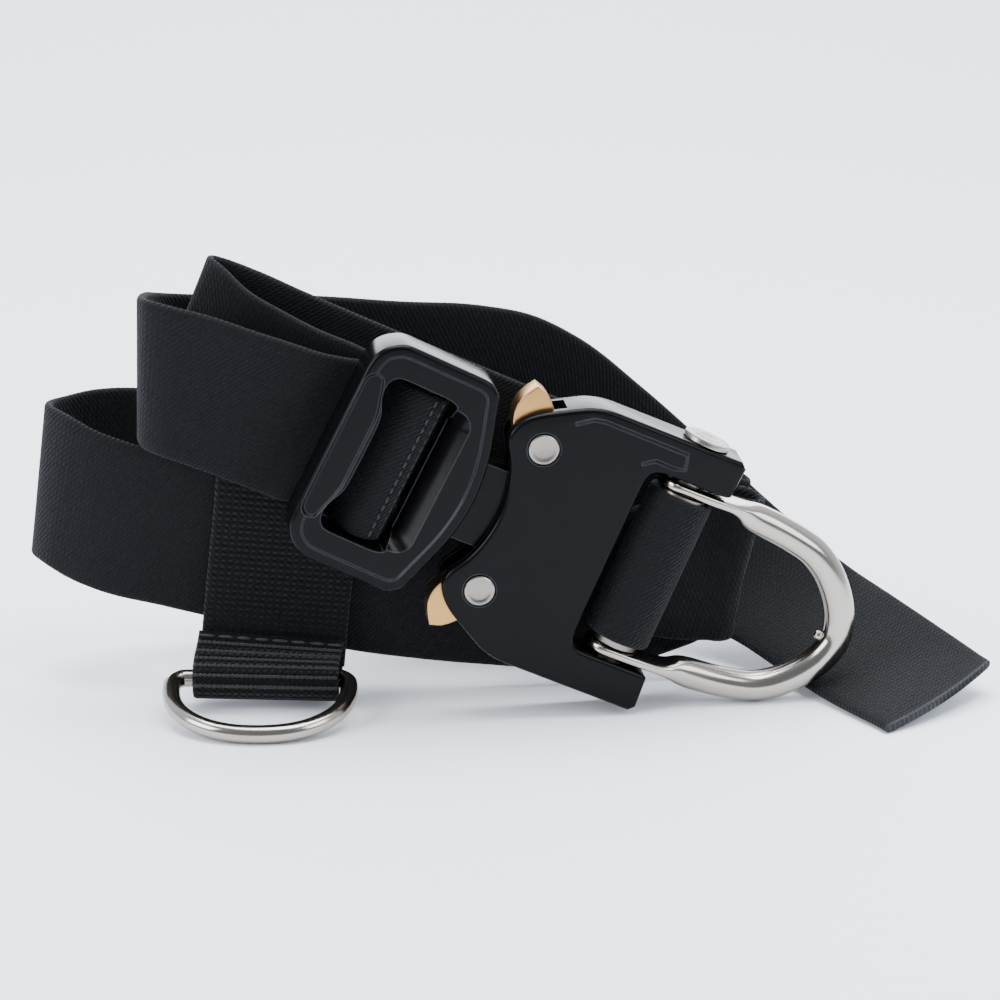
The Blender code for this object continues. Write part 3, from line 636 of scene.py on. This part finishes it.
def makeTieRing():
    sides = tieRing["sides"]
    otherHalf = [(u, -v, a, b, e) for u, v, a, b, e in reversed(tieRingHalf[:-1])]
    rows = curved(tieRingHalf + otherHalf, tieRing["steps"])
    points = []
    for i, (u, v, inPlane, depth, power) in enumerate(rows):
        before, after = rows[max(0, i - 1)], rows[min(len(rows) - 1, i + 1)]
        heading = Vector((after[0] - before[0], after[1] - before[1])).normalized()
        outward = Vector((heading.y, -heading.x))
        for k in range(sides):
            angle = 2 * math.pi * k / sides
            c, s = math.cos(angle), math.sin(angle)
            a = inPlane * math.copysign(abs(c) ** (2 / power), c)
            b = depth * math.copysign(abs(s) ** (2 / power), s)
            points.append(bodyPlace(u + outward.x * a, v + outward.y * a, b))
    faces = []
    for i in range(len(rows) - 1):
        for k in range(sides):
            m = (k + 1) % sides
            faces.append((i * sides + k, i * sides + m, (i + 1) * sides + m, (i + 1) * sides + k))
    faces += [tuple(range(sides)), tuple((len(rows) - 1) * sides + k for k in range(sides))]
    ring = newPiece("tieInRing", points, faces, ringSteel)

    def nubPlace(a, b, level):
        return bodyPlace(51.4 + level, 0.5 + a, b)

    nub = turnedPiece("nub", [(0.5, 0.0), (0.9, 0.15), (1.2, 0.6), (1.2, 4.0)], 24, nubPlace, ringSteel)
    combined(ring, [nub], "UNION")
    bore = tieRing["boreRadius"]
    combined(ring, [turnedPiece("bore", [(bore, -30), (bore, 30)], 48, pinPlace, ringSteel)], "DIFFERENCE")
    return finished(shaded(ring, 50.0), "tie_in_ring", "ring_steel", "tie_in_ring")


makeTieRing()
print("tie-in ring made")

# Adjuster frame with the tongue, window, ramp and the seat of the slide bar
adjuster = {
    "halfDepth": 7.0, "tongueHalfDepth": 3.4, "edge": 1.3, "rim": 3.4, "barU": -77.6, "barN": -2.4,
    "barRadius": 4.0, "windowEdge": 1.0, "seatPlay": 0.4,
}
frameHalf = [
    (-53.6, 0.0), (-53.9, 5.0), (-54.6, 10.0), (-55.8, 15.2), (-57.4, 20.2), (-59.0, 25.0), (-60.4, 29.4),
    (-62.4, 31.2), (-64.6, 32.4), (-89.6, 32.4), (-92.8, 30.7), (-95.2, 28.6), (-96.6, 25.6), (-97.0, 22.0),
    (-97.0, 0.0),
]
windowHalf = [
    (-86.8, 0.0), (-86.9, 9.0), (-87.4, 12.4), (-89.4, 16.0), (-89.9, 19.4), (-89.0, 22.0), (-87.0, 23.2),
    (-72.2, 23.2), (-70.0, 22.4), (-69.2, 20.2), (-69.2, 0.0),
]
tongueHalf = [(-58.0, 11.4), (-30.1, 11.4), (-28.0, 14.5), (-26.6, 14.5), (-24.6, 12.6), (-24.2, 10.0)]
stripHalf = [
    (-95.4, 0.0), (-95.4, 19.0), (-94.6, 20.6), (-93.0, 21.4), (-91.6, 20.8), (-90.9, 19.0), (-88.6, 11.0),
    (-88.6, 0.0),
]


def rampPlace(u, n, v):
    return framePlace(u, v, n)


def rampOutline(left, right, reach):
    # A rectangle with round corners on its right, counted alike at every level
    turn = min(5.0, (right - left) * 0.9)
    made = [(left, -reach)]
    for corner, sign in ((-90, -1), (0, 1)):
        for k in range(7):
            angle = math.radians(corner + 15 * k)
            u, v = right - turn + turn * math.cos(angle), sign * (reach - turn) + turn * math.sin(angle)
            made.append((u, v))
    return made + [(left, reach)]


def barPlace(a, b, level):
    return framePlace(adjuster["barU"] + a, level, adjuster["barN"] + b)


def makeAdjuster():
    half = adjuster["halfDepth"]
    edge = adjuster["edge"]
    piece = slab("adjusterFrame", closedHalf(frameHalf), -half, half, framePlace, blackMetal, edge)
    windowEdge = adjuster["windowEdge"]
    window = flaredCutter("window", closedHalf(windowHalf), half, windowEdge, framePlace, blackMetal)
    low, high = rampOutline(-71.0, -69.0, 18.0), rampOutline(-73.0, -62.6, 22.0)
    middle = rampOutline(-72.0, -67.4, 19.4)
    ramp = stacked("ramp", [(low, -0.5), (middle, 3.0), (high, 7.6)], framePlace, blackMetal)
    reliefSide = [(-92.6, -9.0), (-85.0, -9.0), (-85.0, 0.0), (-87.2, 0.0)]
    relief = slab("relief", reliefSide, -23.2, 23.2, rampPlace, blackMetal)
    seatRadius = adjuster["barRadius"] + adjuster["seatPlay"]
    seat = turnedPiece("seat", [(seatRadius, -27.6), (seatRadius, 27.6)], 48, barPlace, blackMetal)
    combined(piece, [window, ramp, relief, seat], "DIFFERENCE")
    rim = inset(closedHalf(frameHalf), adjuster["rim"])
    recess = slab("recess", rim, half - 0.4, half + 1.0, framePlace, blackMetal, spread=1.4)
    strip = slab("strip", closedHalf(stripHalf), half - 1.0, half + 0.4, framePlace, blackMetal, spread=1.2)
    combined(piece, [recess, strip], "DIFFERENCE")
    depth = adjuster["tongueHalfDepth"]
    tongue = slab("tongue", mirrored(tongueHalf), -depth, depth, bodyPlace, blackMetal)
    combined(piece, [tongue], "UNION")
    return finished(shaded(piece), "belt", "black_coating", "adjuster_frame")


makeAdjuster()
barRadius = adjuster["barRadius"]
barRows = [(barRadius - 0.4, -27.2), (barRadius - 0.1, -27.1), (barRadius, -26.8), (barRadius, 26.8),
           (barRadius - 0.1, 27.1), (barRadius - 0.4, 27.2)]
slideBar = shaded(turnedPiece("slideBar", barRows, 40, barPlace, blackMetal), 30.0)
finished(slideBar, "belt", "black_coating", "slide_bar")
print("adjuster made")

# The strap: one ribbon from its sewn eye on the roller to its free end
strapSizes = {
    "width": 44.0, "thickness": 2.2, "spacing": 1.6, "cutSlant": 5.0, "flatLength": 1.122, "eyeRadius": 8.1,
    "wrapRadius": 5.5, "edgeSteps": 4, "acrossSteps": 16,
}


def section(x, depth, height, tilt, lean):
    # Middle of the webbing and the direction of its width: tilt to the right, lean away from the viewer
    tilt, lean = math.radians(tilt), math.radians(lean)
    side = Vector((math.sin(tilt) * math.cos(lean), math.sin(lean), math.cos(tilt) * math.cos(lean)))
    return Vector((x, depth, height)), side


def fold(x, depth, height, tilts, radius, flare, start, finish, steps):
    # Part of a turn about an upright line, from the first tilt to the second; flare widens its upper edge
    flare = math.radians(flare)
    turns = []
    for i in range(steps + 1):
        share = (1.0 - math.cos(math.pi * i / steps)) / 2
        middle, side = section(x, depth, height, tilts[0] + (tilts[1] - tilts[0]) * share, 0.0)
        away = Vector((0.0, 1.0, 0.0))
        right = away.cross(side)
        angle = math.radians(start + (finish - start) * i / steps)
        out = right * math.cos(angle) + away * math.sin(angle)
        turns.append((middle + out * radius, side * math.cos(flare) + out * math.sin(flare)))
    return turns


def smooth(stations, spacing):
    count = len(stations)
    knots = [0.0]
    for i in range(1, count):
        knots.append(knots[-1] + (stations[i][0] - stations[i - 1][0]).length)

    def slope(i, part):
        low, high = max(0, i - 1), min(count - 1, i + 1)
        if low == i or high == i:
            return (stations[high][part] - stations[low][part]) / (knots[high] - knots[low])
        before = (stations[i][part] - stations[low][part]) / (knots[i] - knots[low])
        after = (stations[high][part] - stations[i][part]) / (knots[high] - knots[i])
        share = (knots[i] - knots[low]) / (knots[high] - knots[low])
        return before * (1.0 - share) + after * share

    filled = []
    for i in range(count - 1):
        length = knots[i + 1] - knots[i]
        steps = max(1, round(length / spacing))
        for k in range(steps):
            t = k / steps
            values = []
            for part in (0, 1):
                a, b = stations[i][part], stations[i + 1][part]
                riseA, riseB = slope(i, part) * length, slope(i + 1, part) * length
                bend = 3 * (b - a) - 2 * riseA - riseB
                values.append(a + riseA * t + bend * t * t + (2 * (a - b) + riseA + riseB) * t ** 3)
            filled.append((values[0], values[1].normalized()))
    filled.append(stations[-1])
    return filled


def wovenRibbon(name, stations, width, thickness, surface, slant=0.0):
    # Flat webbing with rounded selvedges; weaveWay keeps each point's place along and across, in mm
    edge, flat = strapSizes["edgeSteps"], strapSizes["acrossSteps"]
    half, straight = thickness / 2, width / 2 - thickness / 2
    profile = [(straight - 2 * straight * k / flat, half) for k in range(flat + 1)]
    profile += [(-straight - half * math.sin(math.pi * k / edge), half * math.cos(math.pi * k / edge))
                for k in range(1, edge)]
    profile += [(-straight + 2 * straight * k / flat, -half) for k in range(flat + 1)]
    profile += [(straight + half * math.sin(math.pi * k / edge), -half * math.cos(math.pi * k / edge))
                for k in range(1, edge)]
    points, ways, faces = [], [], []
    run = 0.0
    last = len(stations) - 1
    for i, (middle, side) in enumerate(stations):
        before, after = stations[max(0, i - 1)][0], stations[min(last, i + 1)][0]
        heading = (after - before).normalized()
        face = heading.cross(side).normalized()
        if i:
            run += (middle - stations[i - 1][0]).length
        for a, b in profile:
            bulge = slant * (0.35 * (0.5 - a / width) + 0.5 + 0.4 * (1 - (2 * a / width) ** 2))
            reach = bulge if i == last else 0.0
            points.append(middle + side * a + face * b + heading * reach)
            ways.append((run + (slant if i == last else 0.0), a, b))
    around = len(profile)
    for i in range(last):
        for k in range(around):
            m = (k + 1) % around
            faces.append((around * i + k, around * i + m, around * (i + 1) + m, around * (i + 1) + k))
    faces += [tuple(range(around)), tuple(around * last + k for k in range(around))]
    ribbon = newPiece(name, points, faces, surface)
    stored = ribbon.data.attributes.new("weaveWay", "FLOAT_VECTOR", "POINT")
    stored.data.foreach_set("vector", [value for way in ways for value in way])
    shaded(ribbon, 60.0)
    return ribbon, run


def onRibbon(stations, distance, sideways, lift):
    # A point on the ribbon's front, that far along and across it
    run = 0.0
    for i in range(1, len(stations)):
        step = (stations[i][0] - stations[i - 1][0]).length
        if run + step >= distance or i == len(stations) - 1:
            share = (distance - run) / max(step, 1e-6)
            middle = stations[i - 1][0].lerp(stations[i][0], share)
            side = stations[i - 1][1].lerp(stations[i][1], share).normalized()
            face = (stations[i][0] - stations[i - 1][0]).cross(side).normalized()
            return middle + side * sideways + face * lift
        run += step


# Rows: x, depth, height, tilt and lean
rightRun = [(49.8, 42.6, 36.9, 20, 3), (58.4, 45.0, 34.9, 15, 0)]
lowerRun = [
    (55.0, 53.0, 33.3, -6, 0), (47.0, 52.0, 31.0, -14, 0), (36.0, 49.8, 27.8, -12, 0),
    (20.0, 47.2, 26.3, 0, 0), (1.5, 45.0, 28.1, 9, 0), (-20.7, 43.0, 30.9, 9, 0),
    (-40.5, 41.5, 34.4, 10, 0), (-59.0, 40.0, 40.1, 12, -2), (-77.3, 39.0, 44.4, 14, -3),
    (-87.8, 39.4, 47.0, 14, -2), (-105.2, 41.6, 50.8, 12, 0),
]
leftTurn = [
    (-115.4, 45.0, 53.8, 10, 0), (-122.6, 49.6, 56.6, 9, 0), (-126.6, 55.4, 57.2, 7, 0),
    (-126.0, 61.8, 56.4, 5, 0), (-122.0, 67.6, 55.6, 4, 1), (-115.4, 73.0, 55.6, 5, 2),
    (-105.0, 78.4, 54.6, 9, 2),
]
backRun = [
    (-92.0, 81.4, 51.8, 14, 1), (-78.0, 82.6, 46.4, 20, 0), (-60.0, 82.2, 38.6, 22, 0),
    (-44.0, 80.2, 31.0, 20, 0), (-28.0, 77.4, 25.2, 12, 0), (-12.0, 74.6, 22.3, 3, 0),
    (5.0, 71.4, 23.2, -8, 0), (22.0, 68.2, 27.2, -13, 0), (38.0, 66.4, 32.8, -10, 0),
    (50.0, 65.0, 35.2, -2, 0),
]
upperRun = [
    (46.0, 57.4, 41.8, 23, 0), (30.0, 56.0, 50.4, 25, 1), (-4.5, 52.0, 66.8, 24, 2),
    (-39.9, 49.4, 83.1, 24, 2), (-62.7, 48.8, 93.5, 23, 2), (-73.1, 48.2, 98.6, 21, 2),
]
upperFront = [(-78.1, 36.8, 98.0, 28, 0), (-68.8, 35.2, 92.6, 28, 1), (-58.4, 34.6, 87.2, 27, 1)]
frontRun = [
    (-56.0, 28.4, 82.4, 24, -2), (-63.7, 27.2, 85.6, 22, -4), (-71.9, 26.0, 89.0, 18, -6),
    (-82.8, 25.0, 93.3, 13, -6), (-90.0, 25.2, 95.4, 8, -7),
]
frontTurn = [
    (-94.8, 27.4, 96.4, 4, -8), (-96.8, 32.0, 96.2, 2, -9), (-97.0, 38.0, 95.4, 2, -9),
    (-96.8, 44.0, 94.0, 3, -8), (-96.0, 50.0, 91.8, 5, -6), (-93.4, 54.8, 89.8, 8, -3),
    (-88.6, 57.8, 88.4, 10, 0),
]
tailRun = [
    (-76.0, 60.6, 87.4, 12, 1), (-57.0, 64.0, 86.3, 14, 1), (-33.7, 69.0, 83.5, 16, 0),
    (-12.3, 74.0, 81.1, 18, 0), (0.9, 78.0, 77.5, 22, 0), (12.0, 81.0, 70.6, 28, 2),
    (26.6, 84.0, 56.9, 36, 8), (43.0, 86.0, 41.2, 42, 18), (60.4, 85.0, 26.4, 52, 29),
    (72.5, 81.5, 18.4, 62, 35), (82.5, 75.0, 13.8, 69, 37), (93.9, 61.0, 10.4, 71, 36),
    (106.2, 44.5, 7.2, 72, 37), (118.4, 27.2, 5.3, 76, 42),
]


def wrapPlace(u, n, v):
    return framePlace(u, v, n), -frameAcross


def strapStations():
    radius = strapSizes["eyeRadius"]
    eye = []
    for i in range(13):
        angle = math.radians(-40.0 + 25.2 * i)
        eye.append((bodyPlace(radius * math.cos(angle), -0.8, radius * math.sin(angle)), -across))
    barWrap = [wrapPlace(-91.0, -12.1, -0.6), wrapPlace(-84.0, -9.9, -0.4)]
    for i in range(9):
        angle = math.radians(-90.0 + 28.0 * i)
        u = adjuster["barU"] + strapSizes["wrapRadius"] * math.cos(angle)
        n = adjuster["barN"] + strapSizes["wrapRadius"] * math.sin(angle)
        barWrap.append(wrapPlace(u, n, -0.4 + 0.1 * i))
    for u, n, v in ((-85.4, -3.8, 0.1), (-88.0, -7.2, 0.1), (-91.2, -9.3, 0.3), (-98.0, -9.5, 2.6)):
        barWrap.append(wrapPlace(u, n, v))
    rows = eye + [section(*row) for row in rightRun] + fold(63.4, 49.3, 34.2, (15, 0), 3.9, 4, -90, 90, 7)
    rows += [section(*row) for row in lowerRun + leftTurn + backRun]
    rows += fold(60.4, 61.2, 35.8, (6, 19), 3.2, 0, 90, -90, 7)
    rows += [section(*row) for row in upperRun] + fold(-83.0, 45.0, 102.6, (18, 24), 3.4, 0, 90, 235, 7)
    rows += [section(*row) for row in upperFront] + [wrapPlace(-98.0, -13.0, -0.6)] + barWrap
    rows += [section(*row) for row in frontRun + frontTurn + tailRun]
    return rows


strapLine = smooth(strapStations(), strapSizes["spacing"])
strap, strapLength = wovenRibbon("beltStrap", strapLine, strapSizes["width"], strapSizes["thickness"],
                                 strapWeave, strapSizes["cutSlant"])
webbingNodes = [
    "webbing_pin_eye", "webbing_lower_run", "webbing_left_turn", "webbing_back_run", "webbing_upper_run",
    "webbing_upper_turn", "webbing_bar_wrap", "webbing_front_run", "webbing_front_turn", "webbing_tail",
]
finished(strap, "belt", "webbing", *webbingNodes)
print("strap made, mm long:", round(strapLength))

# The tab: over the belt, down both sides of it and round the bar of the accessory ring
tabSizes = {"width": 40.0, "thickness": 1.8, "flatLength": 0.153}
tabRows = [
    # x, depth, height, fall to the right and yaw of the width
    (-62.8, 35.4, 11.4, 6, 2), (-62.4, 36.3, 15.5, 6, 3), (-61.8, 37.1, 22.0, 6, 3.5),
    (-60.1, 36.9, 38.0, 6, 3.5), (-57.9, 36.1, 58.0, 7, 3.5), (-57.5, 36.0, 62.6, 8, 3),
    (-57.3, 36.9, 65.2, 9, 3), (-57.2, 39.2, 66.3, 10, 3), (-57.3, 41.5, 65.2, 9, 3),
    (-57.5, 42.4, 62.6, 8, 3), (-57.9, 42.6, 58.0, 7, 3.5), (-60.1, 43.2, 38.0, 6, 3.5),
    (-61.8, 43.8, 21.0, 6, 3.5), (-62.4, 43.2, 14.6, 6, 3), (-63.4, 39.4, 9.2, 4, 2),
    (-64.3, 33.0, 4.8, 1.5, 0), (-64.3, 29.4, 3.3, 1.2, 0), (-64.3, 25.7, 4.8, 1.2, 0),
    (-64.3, 24.3, 8.3, 1.2, 0), (-64.3, 25.9, 11.7, 1.6, 0), (-64.0, 29.8, 13.8, 3, 1),
    (-63.3, 32.8, 16.2, 5, 2), (-62.8, 34.3, 18.9, 6, 3),
]
tabStations = []
for x, depth, height, fall, yaw in tabRows:
    fall, yaw = math.radians(fall), math.radians(yaw)
    side = Vector((math.cos(fall) * math.cos(yaw), math.cos(fall) * math.sin(yaw), -math.sin(fall)))
    tabStations.append((Vector((x, depth, height)), side))
tabLine = smooth(tabStations, 1.5)
tab, tabLength = wovenRibbon("sewnTab", tabLine, tabSizes["width"], tabSizes["thickness"], tabWeave)
finished(tab, "belt", "webbing", "webbing_tab")
print("tab made, mm long:", round(tabLength))


def newTree(name, sockets):
    tree = bpy.data.node_groups.new(name, "GeometryNodeTree")
    tree.interface.new_socket("Geometry", in_out="INPUT", socket_type="NodeSocketGeometry")
    for label, kind in sockets:
        tree.interface.new_socket(label, in_out="INPUT", socket_type=kind)
    tree.interface.new_socket("Geometry", in_out="OUTPUT", socket_type="NodeSocketGeometry")
    return tree, addNode(tree, "NodeGroupInput"), tree.nodes.new("NodeGroupOutput")


def solved(base, tree, values):
    # Runs one node tree on a base object and keeps the result as a plain mesh
    step = base.modifiers.new(tree.name, "NODES")
    step.node_group = tree
    for item in tree.interface.items_tree:
        if item.item_type == "SOCKET" and item.in_out == "INPUT" and item.name in values:
            step[item.identifier] = values[item.name]
    applied(base)
    base.data.shade_smooth()
    return base


def polyline(name, points, closed=False):
    mesh = bpy.data.meshes.new(name)
    count = len(points)
    edges = [(i, (i + 1) % count) for i in range(count if closed else count - 1)]
    mesh.from_pydata([(p + centreShift) * 0.001 for p in points], edges, [])
    line = bpy.data.objects.new(name, mesh)
    bpy.context.scene.collection.objects.link(line)
    return line


# Accessory ring: a D of round rod swept along its centre line
smallRing = {"rodRadius": 2.5, "sides": 28, "tilt": 12.0, "middleX": -65.7, "reach": 28.0}
smallRingHalf = [
    (0.0, 0.0), (10.0, 0.0), (20.3, 0.0), (22.3, 0.5), (23.8, 2.0), (24.3, 4.0), (24.3, 8.0), (23.4, 13.0),
    (21.2, 17.8), (17.6, 22.0), (12.6, 25.4), (6.6, 27.4), (0.0, 28.0),
]


def rodTree():
    labels = [("Rod Radius", "NodeSocketFloat"), ("Rod Sides", "NodeSocketInt"),
              ("Finish", "NodeSocketMaterial")]
    tree, given, result = newTree("roundRod", labels)
    line = addNode(tree, "GeometryNodeMeshToCurve", {}, {"Mesh": given.outputs["Geometry"]})
    outline = addNode(tree, "GeometryNodeCurvePrimitiveCircle", {},
                      {"Resolution": given.outputs["Rod Sides"], "Radius": given.outputs["Rod Radius"]})
    swept = addNode(tree, "GeometryNodeCurveToMesh", {},
                    {"Curve": line.outputs[0], "Profile Curve": outline.outputs["Curve"]})
    real = addNode(tree, "GeometryNodeRealizeInstances", {}, {"Geometry": swept.outputs[0]})
    coated = addNode(tree, "GeometryNodeSetMaterial", {},
                     {"Geometry": real.outputs[0], "Material": given.outputs["Finish"]})
    tree.links.new(coated.outputs[0], result.inputs["Geometry"])
    return tree


def makeSmallRing():
    tilt = math.radians(smallRing["tilt"])
    reachWay = Vector((0.0, -math.cos(tilt), -math.sin(tilt)))
    radius = smallRing["rodRadius"]
    barMiddle = Vector((smallRing["middleX"], radius, radius)) - reachWay * smallRing["reach"]
    path = curved(smallRingHalf + [(-p, q) for p, q in reversed(smallRingHalf[1:-1])], 5, closed=True)
    points = [barMiddle + Vector((p, 0.0, 0.0)) + reachWay * q for p, q in path]
    line = polyline("accessoryRing", points, closed=True)
    values = {"Rod Radius": radius * 0.001, "Rod Sides": smallRing["sides"], "Finish": ringSteel}
    solved(line, rodTree(), values)
    return finished(line, "accessory_ring", "ring_steel", "accessory_ring")


makeSmallRing()
print("accessory ring made")

# Sewing: rows of lock stitches
sewing = {
    "thread": {"pitch": 2.6, "length": 1.9, "radius": 0.26},  # mm; bonded thread of the strap
    "tabThread": {"pitch": 5.0, "length": 4.2, "radius": 0.36},
    "tabCord": {"pitch": 1.25, "length": 1.6, "radius": 0.5},  # beads of the tab's thick cords
    "seamBack": 1.2,  # from the tab's turned-up end to its seam
    "seamReach": 17.6,
    "firstCord": 3.2,
    "cordSpacing": 2.45,
    "cordCount": 6,
    "cordReach": 19.0,
    "barSeams": (38, 66),  # degrees round the slide bar
    "barReach": 20.0,
    "sunk": 0.1,  # from the webbing's face
    "seed": 7,
}


def stitchTree():
    labels = [("Stitch Pitch", "NodeSocketFloat"), ("Stitch Length", "NodeSocketFloat"),
              ("Thread Radius", "NodeSocketFloat"), ("Seed", "NodeSocketInt"),
              ("Finish", "NodeSocketMaterial")]
    tree, given, result = newTree("lockStitches", labels)
    line = addNode(tree, "GeometryNodeMeshToCurve", {}, {"Mesh": given.outputs["Geometry"]})
    spaced = addNode(tree, "GeometryNodeResampleCurve", {"mode": "LENGTH"},
                     {"Curve": line.outputs[0], "Length": given.outputs["Stitch Pitch"]})
    bead = addNode(tree, "GeometryNodeMeshUVSphere", {}, {"Segments": 8, "Rings": 5, "Radius": 1.0})
    tangent = addNode(tree, "GeometryNodeInputTangent")
    turn = addNode(tree, "FunctionNodeAlignRotationToVector", {"axis": "X"}, {"Vector": tangent.outputs[0]})
    vary = addNode(tree, "FunctionNodeRandomValue", {"data_type": "FLOAT"},
                   {2: 0.44, 3: 0.54, "Seed": given.outputs["Seed"]})
    halfLength = addNode(tree, "ShaderNodeMath", {"operation": "MULTIPLY"},
                         {0: given.outputs["Stitch Length"], 1: vary.outputs[1]})
    size = addNode(tree, "ShaderNodeCombineXYZ", {},
                   {"X": halfLength.outputs[0], "Y": given.outputs["Thread Radius"],
                    "Z": given.outputs["Thread Radius"]})
    sewn = addNode(tree, "GeometryNodeInstanceOnPoints", {},
                   {"Points": spaced.outputs[0], "Instance": bead.outputs["Mesh"],
                    "Rotation": turn.outputs[0], "Scale": size.outputs[0]})
    real = addNode(tree, "GeometryNodeRealizeInstances", {}, {"Geometry": sewn.outputs[0]})
    coated = addNode(tree, "GeometryNodeSetMaterial", {},
                     {"Geometry": real.outputs[0], "Material": given.outputs["Finish"]})
    tree.links.new(coated.outputs[0], result.inputs["Geometry"])
    return tree


sewingTree = stitchTree()


def stitchRow(name, points, size, finish):
    values = {"Stitch Pitch": size["pitch"] * 0.001, "Stitch Length": size["length"] * 0.001,
              "Thread Radius": size["radius"] * 0.001, "Seed": sewing["seed"], "Finish": finish}
    return finished(solved(polyline(name, points), sewingTree, values), "belt", "webbing")


def acrossTab(back, lift, reach):
    return [onRibbon(tabLine, tabLength - back, reach * (k / 12 - 1), lift) for k in range(25)]


tabStitches, strapStitches = [], []
tabFace = -tabSizes["thickness"] / 2  # the turned-up end shows the ribbon's other face
seam = acrossTab(sewing["seamBack"], tabFace - sewing["sunk"], sewing["seamReach"])
tabStitches.append(stitchRow("tabStitches", seam, sewing["tabThread"], thread))
for i in range(sewing["cordCount"]):
    back = sewing["firstCord"] + sewing["cordSpacing"] * i
    points = acrossTab(back, tabFace + sewing["sunk"], sewing["cordReach"])
    tabStitches.append(stitchRow(f"tabCord{i}", points, sewing["tabCord"], cordYarn))
for i, angle in enumerate(sewing["barSeams"]):
    turn = math.radians(angle)
    reach = strapSizes["wrapRadius"] + strapSizes["thickness"] / 2 + sewing["sunk"]
    u = adjuster["barU"] + reach * math.cos(turn)
    n = adjuster["barN"] + reach * math.sin(turn)
    points = [framePlace(u, sewing["barReach"] * (k / 12 - 1), n) for k in range(25)]
    strapStitches.append(stitchRow(f"strapStitches{i}", points, sewing["thread"], thread))
print("stitches made")

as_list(strapStitches)
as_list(tabStitches)

[[[float(x) for x in corner] for corner in box] for box in (cadBox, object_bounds())]
